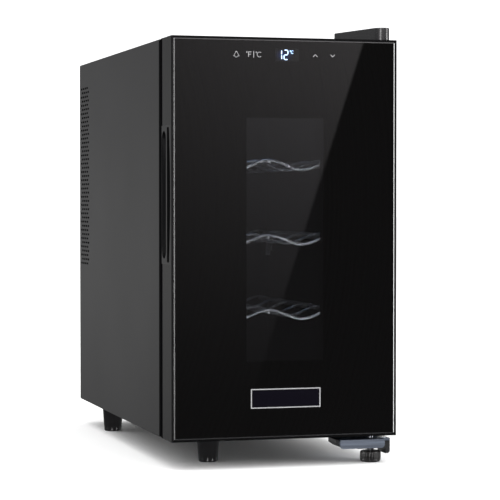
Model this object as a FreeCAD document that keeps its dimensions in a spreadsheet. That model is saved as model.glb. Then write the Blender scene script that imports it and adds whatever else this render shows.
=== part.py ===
"""Slim thermoelectric wine cooler: a vented case, a hinged glass door and three wire shelves.

X runs to the right, Y to the rear and Z up, in millimetres. The origin is on the floor, in the
middle of the body's plan, and the door faces -Y.
"""
import FreeCAD
import Part

import math
import os
import re

import Sketcher

SIZES = {
    # whole body
    "width": 252.0,
    "depth": 500.0,
    "body_height": 430.0,
    "foot_height": 31.0,
    "skin": 1.0,
    "play": 0.2,
    # walls of the case
    "gasket_gap": 3.7,
    "frame_lip": 6.5,
    "side_insulation": 27.0,
    "floor_insulation": 37.0,
    "ceiling_insulation": 36.0,
    "rear_insulation": 32.0,
    "liner_wall": 1.6,
    "liner_corner": 5.0,
    "rear_bay": 60.0,
    "foam_clear": 6.0,
    "panel_recess": 2.5,
    # vents in the sides
    "vent_slot_length": 9.0,
    "vent_slot_width": 2.6,
    "vent_row_step": 5.3,
    "vent_slot_step": 12.0,
    "vent_band": 40.0,
    "vent_rear_edge": 8.0,
    "vent_bottom": 176.0,
    "vent_top": 31.0,
    # door
    "door_thick": 47.6,
    "door_wall": 2.0,
    "door_corner": 1.5,
    "glass_recess": 0.6,
    "glass_thick": 4.0,
    "glass_bevel": 1.6,
    "glass_seat": 8.0,
    "seat_thick": 1.6,
    "mask_thick": 0.4,
    "window_width": 86.0,
    "window_bottom": 83.5,
    "window_top": 85.5,
    "glazing_border": 12.0,
    "spacer_inset": 5.5,
    "tunnel_margin": 9.5,
    "glazing_space": 10.0,
    "inner_glass_thick": 3.2,
    "door_panel_thick": 2.2,
    "gasket_width": 14.0,
    "gasket_inset": 6.0,
    "gasket_seat": 1.2,
    "gasket_play": 0.3,
    "magnet_thick": 2.0,
    # badge and controls
    "badge_width": 78.0,
    "badge_height": 21.0,
    "badge_centre": 44.0,
    "badge_border_width": 1.8,
    "badge_thick": 0.6,
    "control_drop": 18.5,
    "display_offset": 2.0,
    "display_width": 26.0,
    "display_height": 14.0,
    "display_thick": 5.0,
    "board_length": 140.0,
    "board_width": 20.0,
    "board_thick": 1.6,
    # handle let into the left side of the door
    "handle_rise": 47.0,
    "handle_length": 148.0,
    "handle_front": 5.0,
    "handle_rear": 45.0,
    "handle_depth": 17.0,
    "handle_wall": 2.0,
    "finger_front": 25.5,
    "finger_rear": 44.0,
    "finger_margin": 5.7,
    "finger_depth": 14.0,
    "groove_rear": 21.0,
    "groove_width": 9.0,
    "groove_bow": 5.8,
    "groove_depth": 6.0,
    # hinges
    "pin_side_inset": 8.0,
    "pin_front_inset": 26.0,
    "lower_pin_radius": 3.0,
    "upper_pin_radius": 3.5,
    "cable_bore_radius": 2.0,
    "bush_wall": 1.6,
    "bush_length": 14.0,
    "block_margin": 3.0,
    "hinge_fit": 0.05,
    "hinge_plate": 2.5,
    "hinge_gap": 4.3,
    "hinge_lift": 0.8,
    "bracket_length": 102.0,
    "bracket_width": 56.6,
    "bracket_front": 9.5,
    "bracket_edge": 3.6,
    "flange_width": 51.0,
    "flange_height": 10.2,
    "joggle_run": 3.0,
    "shroud_wall": 1.3,
    "shroud_drop": 11.0,
    "hook_drop": 16.6,
    "shroud_ear": 4.5,
    "shroud_depth": 26.0,
    "upper_bracket_width": 30.0,
    "upper_bracket_length": 84.0,
    "cover_height": 15.0,
    "cover_wall": 1.6,
    "cover_back": 54.7,
    "cover_rear_width": 37.0,
    "cover_nose": 7.8,
    # feet
    "foot_top_radius": 12.6,
    "foot_bottom_radius": 10.4,
    "front_foot_side": 59.4,
    "front_foot_inset": 75.4,
    "rear_foot_side": 20.3,
    "rear_foot_inset": 106.0,
    "knob_radius": 11.5,
    "knob_height": 12.5,
    "knob_ribs": 22.0,
    "knob_side": 20.8,
    "knob_inset": 26.4,
    "stud_radius": 4.0,
    "nut_flats": 13.0,
    "nut_height": 5.0,
    "screw_radius": 2.0,
    "screw_head_radius": 3.8,
    "screw_head_height": 1.8,
    # shelves
    "first_trough": 41.5,
    "last_trough": 54.5,
    "wave_height": 10.6,
    "wire_radius": 1.5,
    "rod_radius": 2.0,
    "shelf_front": 64.5,
    "first_wire": 67.0,
    "wire_step": 56.0,
    "shelf_rear_gap": 4.0,
    "shelf_side_gap": 4.0,
    "ledge_width": 11.0,
    "ledge_height": 3.0,
    "ledge_play": 0.3,
    # cooling unit
    "unit_drop": 132.0,
    "block_size": 42.0,
    "module_thick": 3.8,
    "cold_sink_width": 92.0,
    "cold_sink_height": 100.0,
    "cold_base": 4.0,
    "cold_fin": 13.0,
    "fin_thick": 1.2,
    "fin_step": 4.6,
    "cold_fan_size": 60.0,
    "cold_fan_thick": 10.0,
    "hot_sink_width": 120.0,
    "hot_sink_height": 130.0,
    "hot_base": 5.0,
    "hot_fin": 22.0,
    "hot_fan_size": 80.0,
    "hot_fan_thick": 15.0,
    "fan_rim": 2.0,
    "hub_radius": 12.0,
    "fan_gap": 1.0,
    "fan_cover_width": 132.0,
    "fan_cover_height": 150.0,
    "fan_cover_depth": 36.0,
    "fan_cover_wall": 2.0,
    # electrics
    "power_width": 110.0,
    "power_height": 72.0,
    "power_bottom": 16.0,
    "power_x": 30.0,
    "standoff": 8.0,
    "inlet_width": 30.0,
    "inlet_height": 23.0,
    "inlet_depth": 24.0,
    "inlet_x": -78.0,
    "inlet_centre": 44.0,
    "light_width": 70.0,
    "light_depth": 16.0,
    "light_front": 74.0,
    "lens_height": 7.0,
    "lens_wall": 1.2,
    "sensor_radius": 3.0,
    "sensor_length": 22.0,
}

doc = FreeCAD.newDocument("WineCooler")
sheet = doc.addObject("Spreadsheet::Sheet", "Sizes")
for row, (alias, size) in enumerate(SIZES.items(), start=1):
    sheet.set(f"A{row}", alias)
    sheet.set(f"B{row}", str(size))
    sheet.setAlias(f"B{row}", alias)
doc.recompute()

# Places that several pieces share, written in terms of the sheet's sizes.
LEFT = "(-width / 2)"
RIGHT = "(width / 2)"
FRONT = "(-depth / 2)"
REAR = "(depth / 2)"
BASE = "foot_height"
TOP = "(foot_height + body_height)"
DOOR_BACK = f"({FRONT} + door_thick)"
CASE_FRONT = f"({DOOR_BACK} + gasket_gap)"
WRAP_FRONT = f"({CASE_FRONT} + frame_lip)"
BAY_FRONT = f"({REAR} - rear_bay)"
CABIN_SIDE = "(width / 2 - side_insulation)"
CABIN_FLOOR = f"({BASE} + floor_insulation)"
CABIN_CEILING = f"({TOP} - ceiling_insulation)"
CABIN_REAR = f"({BAY_FRONT} - rear_insulation)"
INSIDE = "(width / 2 - skin - play)"
UNIT_Z = f"({CABIN_CEILING} - unit_drop)"
GLASS_FRONT = f"({FRONT} + glass_recess)"
GLASS_BACK = f"({GLASS_FRONT} + glass_thick)"
MASK_BACK = f"({GLASS_BACK} + mask_thick)"
WINDOW_LOW = f"({BASE} + window_bottom)"
WINDOW_HIGH = f"({TOP} - window_top)"
PIN_X = f"({RIGHT} - pin_side_inset)"
PIN_Y = f"({FRONT} + pin_front_inset)"
ROD_X = f"({CABIN_SIDE} - shelf_side_gap)"
WAVE_STEP = f"({ROD_X} / 1.25)"
SHELF_REAR = f"({CABIN_REAR} - fan_cover_depth - shelf_rear_gap)"
SHELF_STEP = f"(({WINDOW_HIGH} - {WINDOW_LOW} - first_trough - last_trough) / 2)"
KNOB_X = f"({RIGHT} - knob_side)"
KNOB_Y = f"({FRONT} + knob_inset)"
LOWER_PLATE = f"({BASE} - hinge_gap)"
UPPER_PLATE = f"({TOP} + hinge_lift)"


def shelf_rod_height(level):
    """Height of a shelf's side rods, halfway up its waves."""
    return f"({WINDOW_LOW} + first_trough + wave_height / 2 + {level} * {SHELF_STEP})"


def bound(text):
    """Return a size expression with each alias written as a cell of the sheet."""
    def cell(match):
        word = match.group(0)
        return f"Sizes.{word}" if word in SIZES else word
    return re.sub(r"[a-z][a-z_]*", cell, str(text))


def number(text):
    """Work out a size expression as a plain number of millimetres."""
    value = sheet.evalExpression(bound(text).replace("Sizes.", ""))
    return float(value)


# ---------------------------------------------------------------- sketches

def plane(body, role):
    """Find one of a body's own origin planes or axes by its role."""
    for feature in body.Origin.OriginFeatures:
        if feature.Role == role:
            return feature
    raise RuntimeError(f"{body.Label} has no {role}")


def sketch_on(body, axis, place):
    """Start a sketch square to an axis of the body, at a place along it."""
    role = {"x": "YZ_Plane", "y": "XZ_Plane", "z": "XY_Plane"}[axis]
    sketch = body.newObject("Sketcher::SketchObject", "Sketch")
    sketch.AttachmentSupport = [(plane(body, role), "")]
    sketch.MapMode = "FlatFace"
    sign = "-" if axis == "y" else ""
    sketch.setExpression("AttachmentOffset.Base.z", bound(f"{sign}({place})"))
    return sketch


def fix(sketch, kind, items, text, start):
    """Add one dimension to a sketch and bind it to a size expression."""
    index = sketch.addConstraint(Sketcher.Constraint(kind, *items, start))
    sketch.setExpression(f"Constraints[{index}]", bound(text))


def polygon(*points):
    """Closed outline through corners, each given as two size expressions."""
    def draw(sketch):
        first = sketch.GeometryCount
        places = [FreeCAD.Vector(number(x), number(y), 0) for x, y in points]
        count = len(places)
        for index in range(count):
            line = Part.LineSegment(places[index], places[(index + 1) % count])
            sketch.addGeometry(line, False)
        for index, (x, y) in enumerate(points):
            here = first + index
            after = first + (index + 1) % count
            sketch.addConstraint(Sketcher.Constraint("Coincident", here, 2, after, 1))
            fix(sketch, "DistanceX", (-1, 1, here, 1), x, places[index].x)
            fix(sketch, "DistanceY", (-1, 1, here, 1), y, places[index].y)
    return draw


def rectangle(left, right, low, high):
    """Rectangle between two places across and two places up."""
    return polygon((left, low), (right, low), (right, high), (left, high))


def disc(x, y, radius):
    """Circle about a centre."""
    def draw(sketch):
        centre = FreeCAD.Vector(number(x), number(y), 0)
        here = sketch.addGeometry(Part.Circle(centre, FreeCAD.Vector(0, 0, 1), number(radius)), False)
        fix(sketch, "DistanceX", (-1, 1, here, 3), x, centre.x)
        fix(sketch, "DistanceY", (-1, 1, here, 3), y, centre.y)
        fix(sketch, "Radius", (here,), radius, number(radius))
    return draw


def rounded(left, right, low, high, radius):
    """Rectangle with four equal rounded corners."""
    def draw(sketch):
        first = sketch.GeometryCount
        x0, x1 = number(left), number(right)
        y0, y1 = number(low), number(high)
        r = number(radius)
        corners = [(x0 + r, y0 + r, 180), (x1 - r, y0 + r, 270), (x1 - r, y1 - r, 0), (x0 + r, y1 - r, 90)]
        sides = [((x0 + r, y0), (x1 - r, y0)), ((x1, y0 + r), (x1, y1 - r)),
                 ((x1 - r, y1), (x0 + r, y1)), ((x0, y1 - r), (x0, y0 + r))]
        for (ax, ay), (bx, by) in sides:
            line = Part.LineSegment(FreeCAD.Vector(ax, ay, 0), FreeCAD.Vector(bx, by, 0))
            sketch.addGeometry(line, False)
        for x, y, turn in corners:
            circle = Part.Circle(FreeCAD.Vector(x, y, 0), FreeCAD.Vector(0, 0, 1), r)
            start = math.radians(turn)
            sketch.addGeometry(Part.ArcOfCircle(circle, start, start + math.pi / 2), False)
        for side in range(4):
            line = first + side
            before = first + 4 + side
            after = first + 4 + (side + 1) % 4
            sketch.addConstraint(Sketcher.Constraint("Tangent", before, 2, line, 1))
            sketch.addConstraint(Sketcher.Constraint("Tangent", line, 2, after, 1))
            way = "Horizontal" if side % 2 == 0 else "Vertical"
            sketch.addConstraint(Sketcher.Constraint(way, line))
        for corner in (5, 6, 7):
            sketch.addConstraint(Sketcher.Constraint("Equal", first + 4, first + corner))
        fix(sketch, "Radius", (first + 4,), radius, r)
        fix(sketch, "DistanceY", (-1, 1, first, 1), low, y0)
        fix(sketch, "DistanceX", (-1, 1, first + 1, 1), right, x1)
        fix(sketch, "DistanceY", (-1, 1, first + 2, 1), high, y1)
        fix(sketch, "DistanceX", (-1, 1, first + 3, 1), left, x0)
    return draw


# ---------------------------------------------------------------- bodies

def new_body(name):
    """Start a body that is one sub-part."""
    body = doc.addObject("PartDesign::Body", name)
    body.Label = name
    return body


def pad(body, axis, low, high, *shapes):
    """Add material between two places along an axis, with the outline the shapes draw."""
    sketch = sketch_on(body, axis, high if axis == "y" else low)
    for shape in shapes:
        shape(sketch)
    feature = body.newObject("PartDesign::Pad", "Pad")
    feature.Profile = sketch
    feature.setExpression("Length", bound(f"({high}) - ({low})"))
    doc.recompute()
    return feature


def cut(body, axis, low, high, *shapes):
    """Take material away between two places along an axis."""
    volume = body.Shape.Volume
    sketch = sketch_on(body, axis, low if axis == "y" else high)
    for shape in shapes:
        shape(sketch)
    feature = body.newObject("PartDesign::Pocket", "Pocket")
    feature.Profile = sketch
    feature.setExpression("Length", bound(f"({high}) - ({low})"))
    doc.recompute()
    if body.Shape.Volume > volume - 1e-3:
        raise RuntimeError(f"{body.Label}: a cut removed nothing")
    return feature


def repeat(body, features, axis, length, count):
    """Repeat features in a row along an axis of the body."""
    pattern = body.newObject("PartDesign::LinearPattern", "Row")
    pattern.Originals = features
    pattern.Direction = (plane(body, f"{axis.upper()}_Axis"), [""])
    pattern.setExpression("Length", bound(length))
    pattern.Occurrences = count
    body.Tip = pattern
    doc.recompute()
    return pattern


def edges(body, chosen):
    """Name the edges of the body's last feature that a test picks out."""
    shape = body.Tip.Shape
    return [f"Edge{index}" for index, edge in enumerate(shape.Edges, start=1) if chosen(edge)]


def dress(body, kind, size_name, size, chosen):
    """Round or bevel the edges that a test picks out on the body's last feature."""
    base = body.Tip
    picked = edges(body, chosen)
    if not picked:
        raise RuntimeError(f"{body.Label}: no edge to dress")
    feature = body.newObject(f"PartDesign::{kind}", kind)
    feature.Base = (base, picked)
    feature.setExpression(size_name, bound(size))
    doc.recompute()
    return feature


def fillet(body, radius, chosen):
    """Round the edges that a test picks out."""
    return dress(body, "Fillet", "Radius", radius, chosen)


def chamfer(body, size, chosen):
    """Bevel the edges that a test picks out."""
    return dress(body, "Chamfer", "Size", size, chosen)


def lies_along(edge, axis):
    """Tell whether a straight edge runs along an axis."""
    if edge.Curve.TypeId != "Part::GeomLine":
        return False
    ends = [vertex.Point for vertex in edge.Vertexes]
    run = ends[1] - ends[0]
    return abs(getattr(run, axis)) > run.Length - 1e-6


def near(edge, **places):
    """Tell whether an edge's middle is at the given places, within 0.05 mm."""
    middle = edge.BoundBox.Center
    return all(abs(getattr(middle, axis) - place) < 0.05 for axis, place in places.items())


def solid(name, shape):
    """Keep a shape as a sub-part of its own."""
    feature = doc.addObject("Part::Feature", name)
    feature.Label = name
    feature.Shape = shape
    return feature


def box(x0, x1, y0, y1, z0, z1):
    """Block between three pairs of places."""
    corner = FreeCAD.Vector(x0, y0, z0)
    return Part.makeBox(x1 - x0, y1 - y0, z1 - z0, corner)


def rod(radius, length, x, y, z, way):
    """Round bar from a point along a direction."""
    return Part.makeCylinder(radius, length, FreeCAD.Vector(x, y, z), FreeCAD.Vector(*way))


def screws(places, way, radius, head_radius, head_height, length):
    """Group of pan-head screws, each head seated at a place and its shank along a direction."""
    made = []
    for x, y, z in places:
        back = [-part * head_height for part in way]
        head = rod(head_radius, head_height, x + back[0], y + back[1], z + back[2], way)
        made.append(head.fuse(rod(radius, length, x, y, z, way)).removeSplitter())
    return Part.makeCompound(made)


# ---------------------------------------------------------------- case

def slot_bar(y, z, length, high, start, reach):
    """Bar along X with a round-ended section, for punching one slot."""
    half = length / 2 - high / 2
    core = box(start, start + reach, y - half, y + half, z - high / 2, z + high / 2)
    ends = [rod(high / 2, reach, start, y + side * half, z, (1, 0, 0)) for side in (-1, 1)]
    return core.fuse(ends).removeSplitter()


def outer_case():
    """Steel wrapper: two sides and the top, with staggered slots in the rear of both sides."""
    side, front, rear = number(RIGHT), number(WRAP_FRONT), number(REAR)
    base, top, skin = number(BASE), number(TOP), number("skin")
    outer = box(-side, side, front, rear, base, top)
    shoulders = [edge for edge in outer.Edges if lies_along(edge, "y") and near(edge, z=top)]
    outer = outer.makeFillet(skin, shoulders)
    wrapper = outer.cut(box(skin - side, side - skin, front - 1, rear + 1, base - 1, top - skin))
    length, high = number("vent_slot_length"), number("vent_slot_width")
    step_y, step_z = number("vent_slot_step"), number("vent_row_step")
    last = rear - number("vent_rear_edge") - length / 2
    columns = int(number("vent_band") / step_y) + 1
    high_end = number("body_height") - number("vent_bottom") - number("vent_top")
    rows = int(high_end / step_z) + 1
    slots = []
    for row in range(rows):
        z = base + number("vent_bottom") + row * step_z
        for column in range(columns):
            y = last - column * step_y - (row % 2) * step_y / 2
            slots.append(slot_bar(y, z, length, high, -side - 1, 2 * side + 2))
    holes = [rod(number("screw_radius"), 4 * skin, x, y, top - 2 * skin, (0, 0, 1))
             for x, y in upper_screw_places()]
    return solid("outer_case", wrapper.cut(slots + holes))


def upper_screw_places():
    """Where the two screws of the upper hinge go into the case."""
    back = number(CASE_FRONT)
    middle = number(PIN_X) - number("upper_bracket_width") / 4
    return [(middle, back + 18), (middle, back + 42)]


def lower_screw_places():
    """Where the two screws of the lower hinge go into the base."""
    back = number(WRAP_FRONT) + 30
    right = number(PIN_X) + number("bracket_edge") - 12
    return [(right, back), (right - 34, back)]


def base_pan():
    """Steel tray that closes the case below, with its two long edges turned up."""
    body = new_body("base_pan")
    inner = f"({INSIDE} - skin)"
    pad(body, "y", WRAP_FRONT, f"{REAR} - panel_recess - skin",
        polygon((f"-{INSIDE}", BASE), (INSIDE, BASE), (INSIDE, f"{BASE} + foam_clear * 2"),
                (inner, f"{BASE} + foam_clear * 2"), (inner, f"{BASE} + skin"),
                (f"-{inner}", f"{BASE} + skin"), (f"-{inner}", f"{BASE} + foam_clear * 2"),
                (f"-{INSIDE}", f"{BASE} + foam_clear * 2")))
    holes = [disc(x, y, "screw_radius") for x, y in FEET.values()]
    holes += [disc(str(x), str(y), "screw_radius") for x, y in lower_screw_places()]
    cut(body, "z", BASE, f"{BASE} + skin", *holes)
    return body


def front_frame():
    """Dark collar round the mouth of the cabin, which the gasket meets."""
    body = new_body("front_frame")
    pad(body, "y", CASE_FRONT, WRAP_FRONT, rectangle(LEFT, RIGHT, BASE, TOP),
        rounded(f"-{CABIN_SIDE}", CABIN_SIDE, CABIN_FLOOR, CABIN_CEILING, "liner_corner"))
    fillet(body, "door_corner", lambda edge: lies_along(edge, "y") and abs(
        edge.BoundBox.Center.x) > number(RIGHT) - 0.1)
    return body


def inner_liner():
    """Moulded cabin: five walls and a pair of ledges for each shelf."""
    body = new_body("inner_liner")
    outer = f"({CABIN_SIDE} + liner_wall)"
    pad(body, "y", WRAP_FRONT, f"{CABIN_REAR} + liner_wall",
        rounded(f"-{outer}", outer, f"{CABIN_FLOOR} - liner_wall", f"{CABIN_CEILING} + liner_wall",
                "liner_corner + liner_wall"))
    cut(body, "y", WRAP_FRONT, CABIN_REAR,
        rounded(f"-{CABIN_SIDE}", CABIN_SIDE, CABIN_FLOOR, CABIN_CEILING, "liner_corner"))
    ledges = []
    for level in range(3):
        high = f"({shelf_rod_height(level)} - rod_radius - ledge_play)"
        low = f"({high} - ledge_height)"
        wall = f"({CABIN_SIDE} + liner_wall / 2)"
        inner = f"({CABIN_SIDE} - ledge_width)"
        ledges.append(rectangle(inner, wall, low, high))
        ledges.append(rectangle(f"-{wall}", f"-{inner}", low, high))
    pad(body, "y", f"{WRAP_FRONT} + liner_corner", f"{CABIN_REAR} - fan_cover_depth", *ledges)
    half = "(block_size / 2 + play)"
    cut(body, "y", f"{CABIN_REAR} - 1", f"{CABIN_REAR} + liner_wall + 1",
        rectangle(f"-{half}", half, f"{UNIT_Z} - {half}", f"{UNIT_Z} + {half}"))
    return body


def foam_insulation():
    """Foam between the wrapper and the cabin, open at the front and pierced for the cold block."""
    body = new_body("foam_insulation")
    outer = f"({CABIN_SIDE} + liner_wall + play)"
    pad(body, "y", WRAP_FRONT, BAY_FRONT,
        rectangle(f"-({INSIDE} - skin - play)", f"({INSIDE} - skin - play)", f"{BASE} + foam_clear",
                  f"{TOP} - skin - foam_clear"))
    cut(body, "y", WRAP_FRONT, f"{CABIN_REAR} + liner_wall + play",
        rounded(f"-{outer}", outer, f"{CABIN_FLOOR} - liner_wall - play",
                f"{CABIN_CEILING} + liner_wall + play", "liner_corner + liner_wall + play"))
    half = "(block_size / 2 + play)"
    cut(body, "y", f"{CABIN_REAR} - 1", f"{BAY_FRONT} + 1",
        rectangle(f"-{half}", half, f"{UNIT_Z} - {half}", f"{UNIT_Z} + {half}"))
    return body


def bulkhead():
    """Steel wall in front of the machine bay, with a window for the heat pump."""
    body = new_body("bulkhead")
    half = "(block_size / 2 + play)"
    pad(body, "y", BAY_FRONT, f"{BAY_FRONT} + skin",
        rectangle(f"-({INSIDE} - skin - play)", f"({INSIDE} - skin - play)", f"{BASE} + skin + play",
                  f"{TOP} - skin - play"),
        rectangle(f"-{half}", half, f"{UNIT_Z} - {half}", f"{UNIT_Z} + {half}"))
    return body


def back_panel():
    """Steel rear panel with slots behind the fan and at the foot of the bay."""
    rear = number(REAR) - number("panel_recess")
    skin = number("skin")
    side = number(INSIDE)
    base, top = number(BASE) + number("play"), number(TOP) - skin - number("play")
    panel = box(-side, side, rear - skin, rear, base, top)
    unit = number(UNIT_Z)
    tools = []
    fan = number("hot_fan_size") / 2
    length, high = number("vent_slot_length") * 4, number("vent_slot_width")
    step = number("vent_row_step") * 1.5
    rows = int(2 * fan / step)
    for row in range(rows):
        z = unit + (row - (rows - 1) / 2) * step
        for x in (-fan / 2, fan / 2):
            tools.append(level_slot(x, z, length, high, rear - 2 * skin, 3 * skin))
    low = base + number("power_bottom") + number("power_height") + step
    for row in range(6):
        for x in (-fan / 2, fan / 2):
            tools.append(level_slot(x, low + row * step, length, high, rear - 2 * skin, 3 * skin))
    for x, z in back_screw_places():
        tools.append(rod(number("screw_radius"), 3 * skin, x, rear - 2 * skin, z, (0, 1, 0)))
    half_x, half_z = number("inlet_width") / 2, number("inlet_height") / 2
    x, z = number("inlet_x"), number(BASE) + number("inlet_centre")
    tools.append(box(x - half_x, x + half_x, rear - 2 * skin, rear + skin, z - half_z, z + half_z))
    return solid("back_panel", panel.cut(tools))


def level_slot(x, z, length, high, start, reach):
    """Bar along Y with a round-ended section, for punching one slot in the rear panel."""
    half = length / 2 - high / 2
    core = box(x - half, x + half, start, start + reach, z - high / 2, z + high / 2)
    ends = [rod(high / 2, reach, x + side * half, start, z, (0, 1, 0)) for side in (-1, 1)]
    return core.fuse(ends).removeSplitter()


def back_screw_places():
    """Where the six screws of the rear panel go, near its two upright edges."""
    side = number(INSIDE) - 8
    heights = [number(BASE) + 14, (number(BASE) + number(TOP)) / 2, number(TOP) - 14]
    return [(x, z) for x in (-side, side) for z in heights]


def back_panel_screws():
    """Six screws that hold the rear panel."""
    rear = number(REAR) - number("panel_recess")
    places = [(x, rear, z) for x, z in back_screw_places()]
    return solid("back_panel_screws", screws(places, (0, -1, 0), number("screw_radius"),
                 number("screw_head_radius"), number("screw_head_height"), 8))


# ---------------------------------------------------------------- feet

FEET = {
    "front_left_foot": (f"{LEFT} + front_foot_side", f"{FRONT} + front_foot_inset"),
    "rear_left_foot": (f"{LEFT} + rear_foot_side", f"{REAR} - rear_foot_inset"),
    "rear_right_foot": (f"{RIGHT} - rear_foot_side", f"{REAR} - rear_foot_inset"),
}


def plain_foot(name, x, y):
    """Tapered foot under the base, bored for its screw."""
    body = new_body(name)
    profile = sketch_on(body, "y", "0")
    bore = "screw_radius"
    polygon((bore, BASE), ("foot_top_radius", BASE), ("foot_bottom_radius", "0"), ("0", "0"),
            ("0", "foot_height / 2"), (bore, "foot_height / 2"))(profile)
    turned = body.newObject("PartDesign::Revolution", "Turned")
    turned.Profile = profile
    turned.ReferenceAxis = (profile, ["V_Axis"])
    turned.Angle = 360
    doc.recompute()
    fillet(body, "screw_radius / 2", lambda edge: near(edge, z=0) and edge.Length > 10)
    body.setExpression("Placement.Base.x", bound(x))
    body.setExpression("Placement.Base.y", bound(y))
    return body


def foot_screws():
    """Screws that come down through the base into the three plain feet."""
    places = [(number(x), number(y), number(BASE) + number("skin")) for x, y in FEET.values()]
    return solid("foot_screws", screws(places, (0, 0, -1), number("screw_radius"),
                 number("screw_head_radius"), number("screw_head_height"), 12))


def levelling_knob():
    """Fluted knob of the adjustable foot under the lower hinge."""
    body = new_body("levelling_knob")
    pad(body, "z", "0", "knob_height", disc("0", "0", "knob_radius"))
    fillet(body, "stud_radius / 2", lambda edge: near(edge, z=0))
    flute = cut(body, "z", "stud_radius / 2", "knob_height - stud_radius / 4",
                disc("knob_radius + screw_radius / 4", "0", "screw_radius / 2"))
    ring = body.newObject("PartDesign::PolarPattern", "Flutes")
    ring.Originals = [flute]
    ring.Axis = (plane(body, "Z_Axis"), [""])
    ring.Angle = 360
    ring.Occurrences = int(number("knob_ribs"))
    body.Tip = ring
    doc.recompute()
    cut(body, "z", "knob_height / 2", "knob_height", disc("0", "0", "stud_radius"))
    place_foot(body)
    return body


def place_foot(body):
    """Stand a piece of the adjustable foot on the foot's own axis."""
    body.setExpression("Placement.Base.x", bound(KNOB_X))
    body.setExpression("Placement.Base.y", bound(KNOB_Y))


def levelling_stud():
    """Steel stud that rises from the knob through the hinge plate."""
    body = new_body("levelling_stud")
    pad(body, "z", "knob_height / 2", f"{LOWER_PLATE} + hinge_gap / 2", disc("0", "0", "stud_radius"))
    chamfer(body, "stud_radius / 5", lambda edge: near(edge, z=number(LOWER_PLATE) + number("hinge_gap") / 2))
    place_foot(body)
    return body


def levelling_nut():
    """Six-sided nut welded under the hinge plate for the stud."""
    body = new_body("levelling_nut")
    under = f"({LOWER_PLATE} - hinge_plate)"
    corners = []
    for index in range(6):
        turn = math.radians(60 * index + 30)
        reach = 0.5 / math.cos(math.radians(30))
        corners.append((f"nut_flats * {reach * math.cos(turn):.6f}",
                        f"nut_flats * {reach * math.sin(turn):.6f}"))
    pad(body, "z", f"{under} - nut_height", under, polygon(*corners),
        disc("0", "0", "stud_radius + hinge_fit"))
    place_foot(body)
    return body


# ---------------------------------------------------------------- hinges

BRACKET_RIGHT = f"({PIN_X} + bracket_edge)"
BRACKET_LEFT = f"({BRACKET_RIGHT} - bracket_width)"
BRACKET_FRONT = f"({FRONT} + bracket_front)"


def lower_hinge_bracket():
    """Bent steel plate under the case and door, with a flange turned down at its front."""
    body = new_body("lower_hinge_bracket")
    raised = f"({CASE_FRONT} + 1)"
    under = f"({LOWER_PLATE} - hinge_plate)"
    pad(body, "x", BRACKET_LEFT, BRACKET_RIGHT,
        polygon((BRACKET_FRONT, LOWER_PLATE), (BRACKET_FRONT, f"{LOWER_PLATE} - flange_height"),
                (f"{BRACKET_FRONT} + hinge_plate", f"{LOWER_PLATE} - flange_height"),
                (f"{BRACKET_FRONT} + hinge_plate", under), (f"{raised} + 1", under),
                (f"{raised} + 1 + joggle_run", f"{BASE} - hinge_plate"),
                (f"{BRACKET_FRONT} + bracket_length", f"{BASE} - hinge_plate"),
                (f"{BRACKET_FRONT} + bracket_length", BASE), (f"{raised} + joggle_run", BASE),
                (raised, LOWER_PLATE)))
    cut(body, "x", f"{BRACKET_LEFT} + flange_width", BRACKET_RIGHT,
        rectangle(BRACKET_FRONT, f"{BRACKET_FRONT} + hinge_plate + 1",
                  f"{LOWER_PLATE} - flange_height", under))
    holes = [disc(PIN_X, PIN_Y, "lower_pin_radius"),
             disc(KNOB_X, KNOB_Y, "stud_radius + hinge_fit")]
    cut(body, "z", f"{under} - 1", BASE, *holes)
    drill = [disc(str(x), str(y), "screw_radius") for x, y in lower_screw_places()]
    cut(body, "z", f"{under} - 1", BASE, *drill)
    return body


def lower_hinge_pin():
    """Steel pin that stands up from the lower bracket into the door."""
    body = new_body("lower_hinge_pin")
    top = f"{BASE} + bush_length - 2"
    pad(body, "z", f"{LOWER_PLATE} - hinge_plate", top, disc(PIN_X, PIN_Y, "lower_pin_radius"))
    chamfer(body, "lower_pin_radius / 4", lambda edge: near(edge, z=number(top)))
    return body


def lower_hinge_washer():
    """Nylon washer that the door turns on."""
    body = new_body("lower_hinge_washer")
    pad(body, "z", LOWER_PLATE, f"{BASE} - hinge_fit",
        disc(PIN_X, PIN_Y, "lower_pin_radius + bush_wall"), disc(PIN_X, PIN_Y, "lower_pin_radius"))
    return body


def lower_hinge_shroud():
    """Black moulding under the lower bracket, tapered at its left and curled round at its right."""
    body = new_body("lower_hinge_shroud")
    gap = "(hinge_plate + play)"
    low = f"({LOWER_PLATE} - {gap})"
    left = f"({BRACKET_LEFT} - play)"
    right = f"({BRACKET_RIGHT} + play)"
    outer = f"({right} + shroud_wall)"
    middle = f"({LOWER_PLATE} - shroud_drop)"
    under = f"({LOWER_PLATE} - hook_drop)"
    front = f"({BRACKET_FRONT} + hinge_plate + play)"
    pad(body, "y", front, f"{front} + shroud_depth",
        polygon((f"{left} - shroud_ear", LOWER_PLATE), (left, LOWER_PLATE), (left, low), (right, low),
                (right, LOWER_PLATE), (outer, LOWER_PLATE), (outer, f"{under} + 3.5"),
                (f"{outer} - 3", under), (f"{KNOB_X} + knob_radius + 1", under),
                (f"{KNOB_X} + knob_radius + 1", f"{middle}"), (f"{left} + 22", f"{middle}"),
                (left, f"{LOWER_PLATE} - shroud_drop * 0.72"),
                (f"{left} - shroud_ear * 0.7", f"{LOWER_PLATE} - shroud_drop * 0.5"),
                (f"{left} - shroud_ear", f"{LOWER_PLATE} - shroud_drop * 0.31")))
    cut(body, "z", f"{under} - 1", low,
        disc(KNOB_X, KNOB_Y, "nut_flats * 0.5774 + 1"))
    return body


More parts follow.
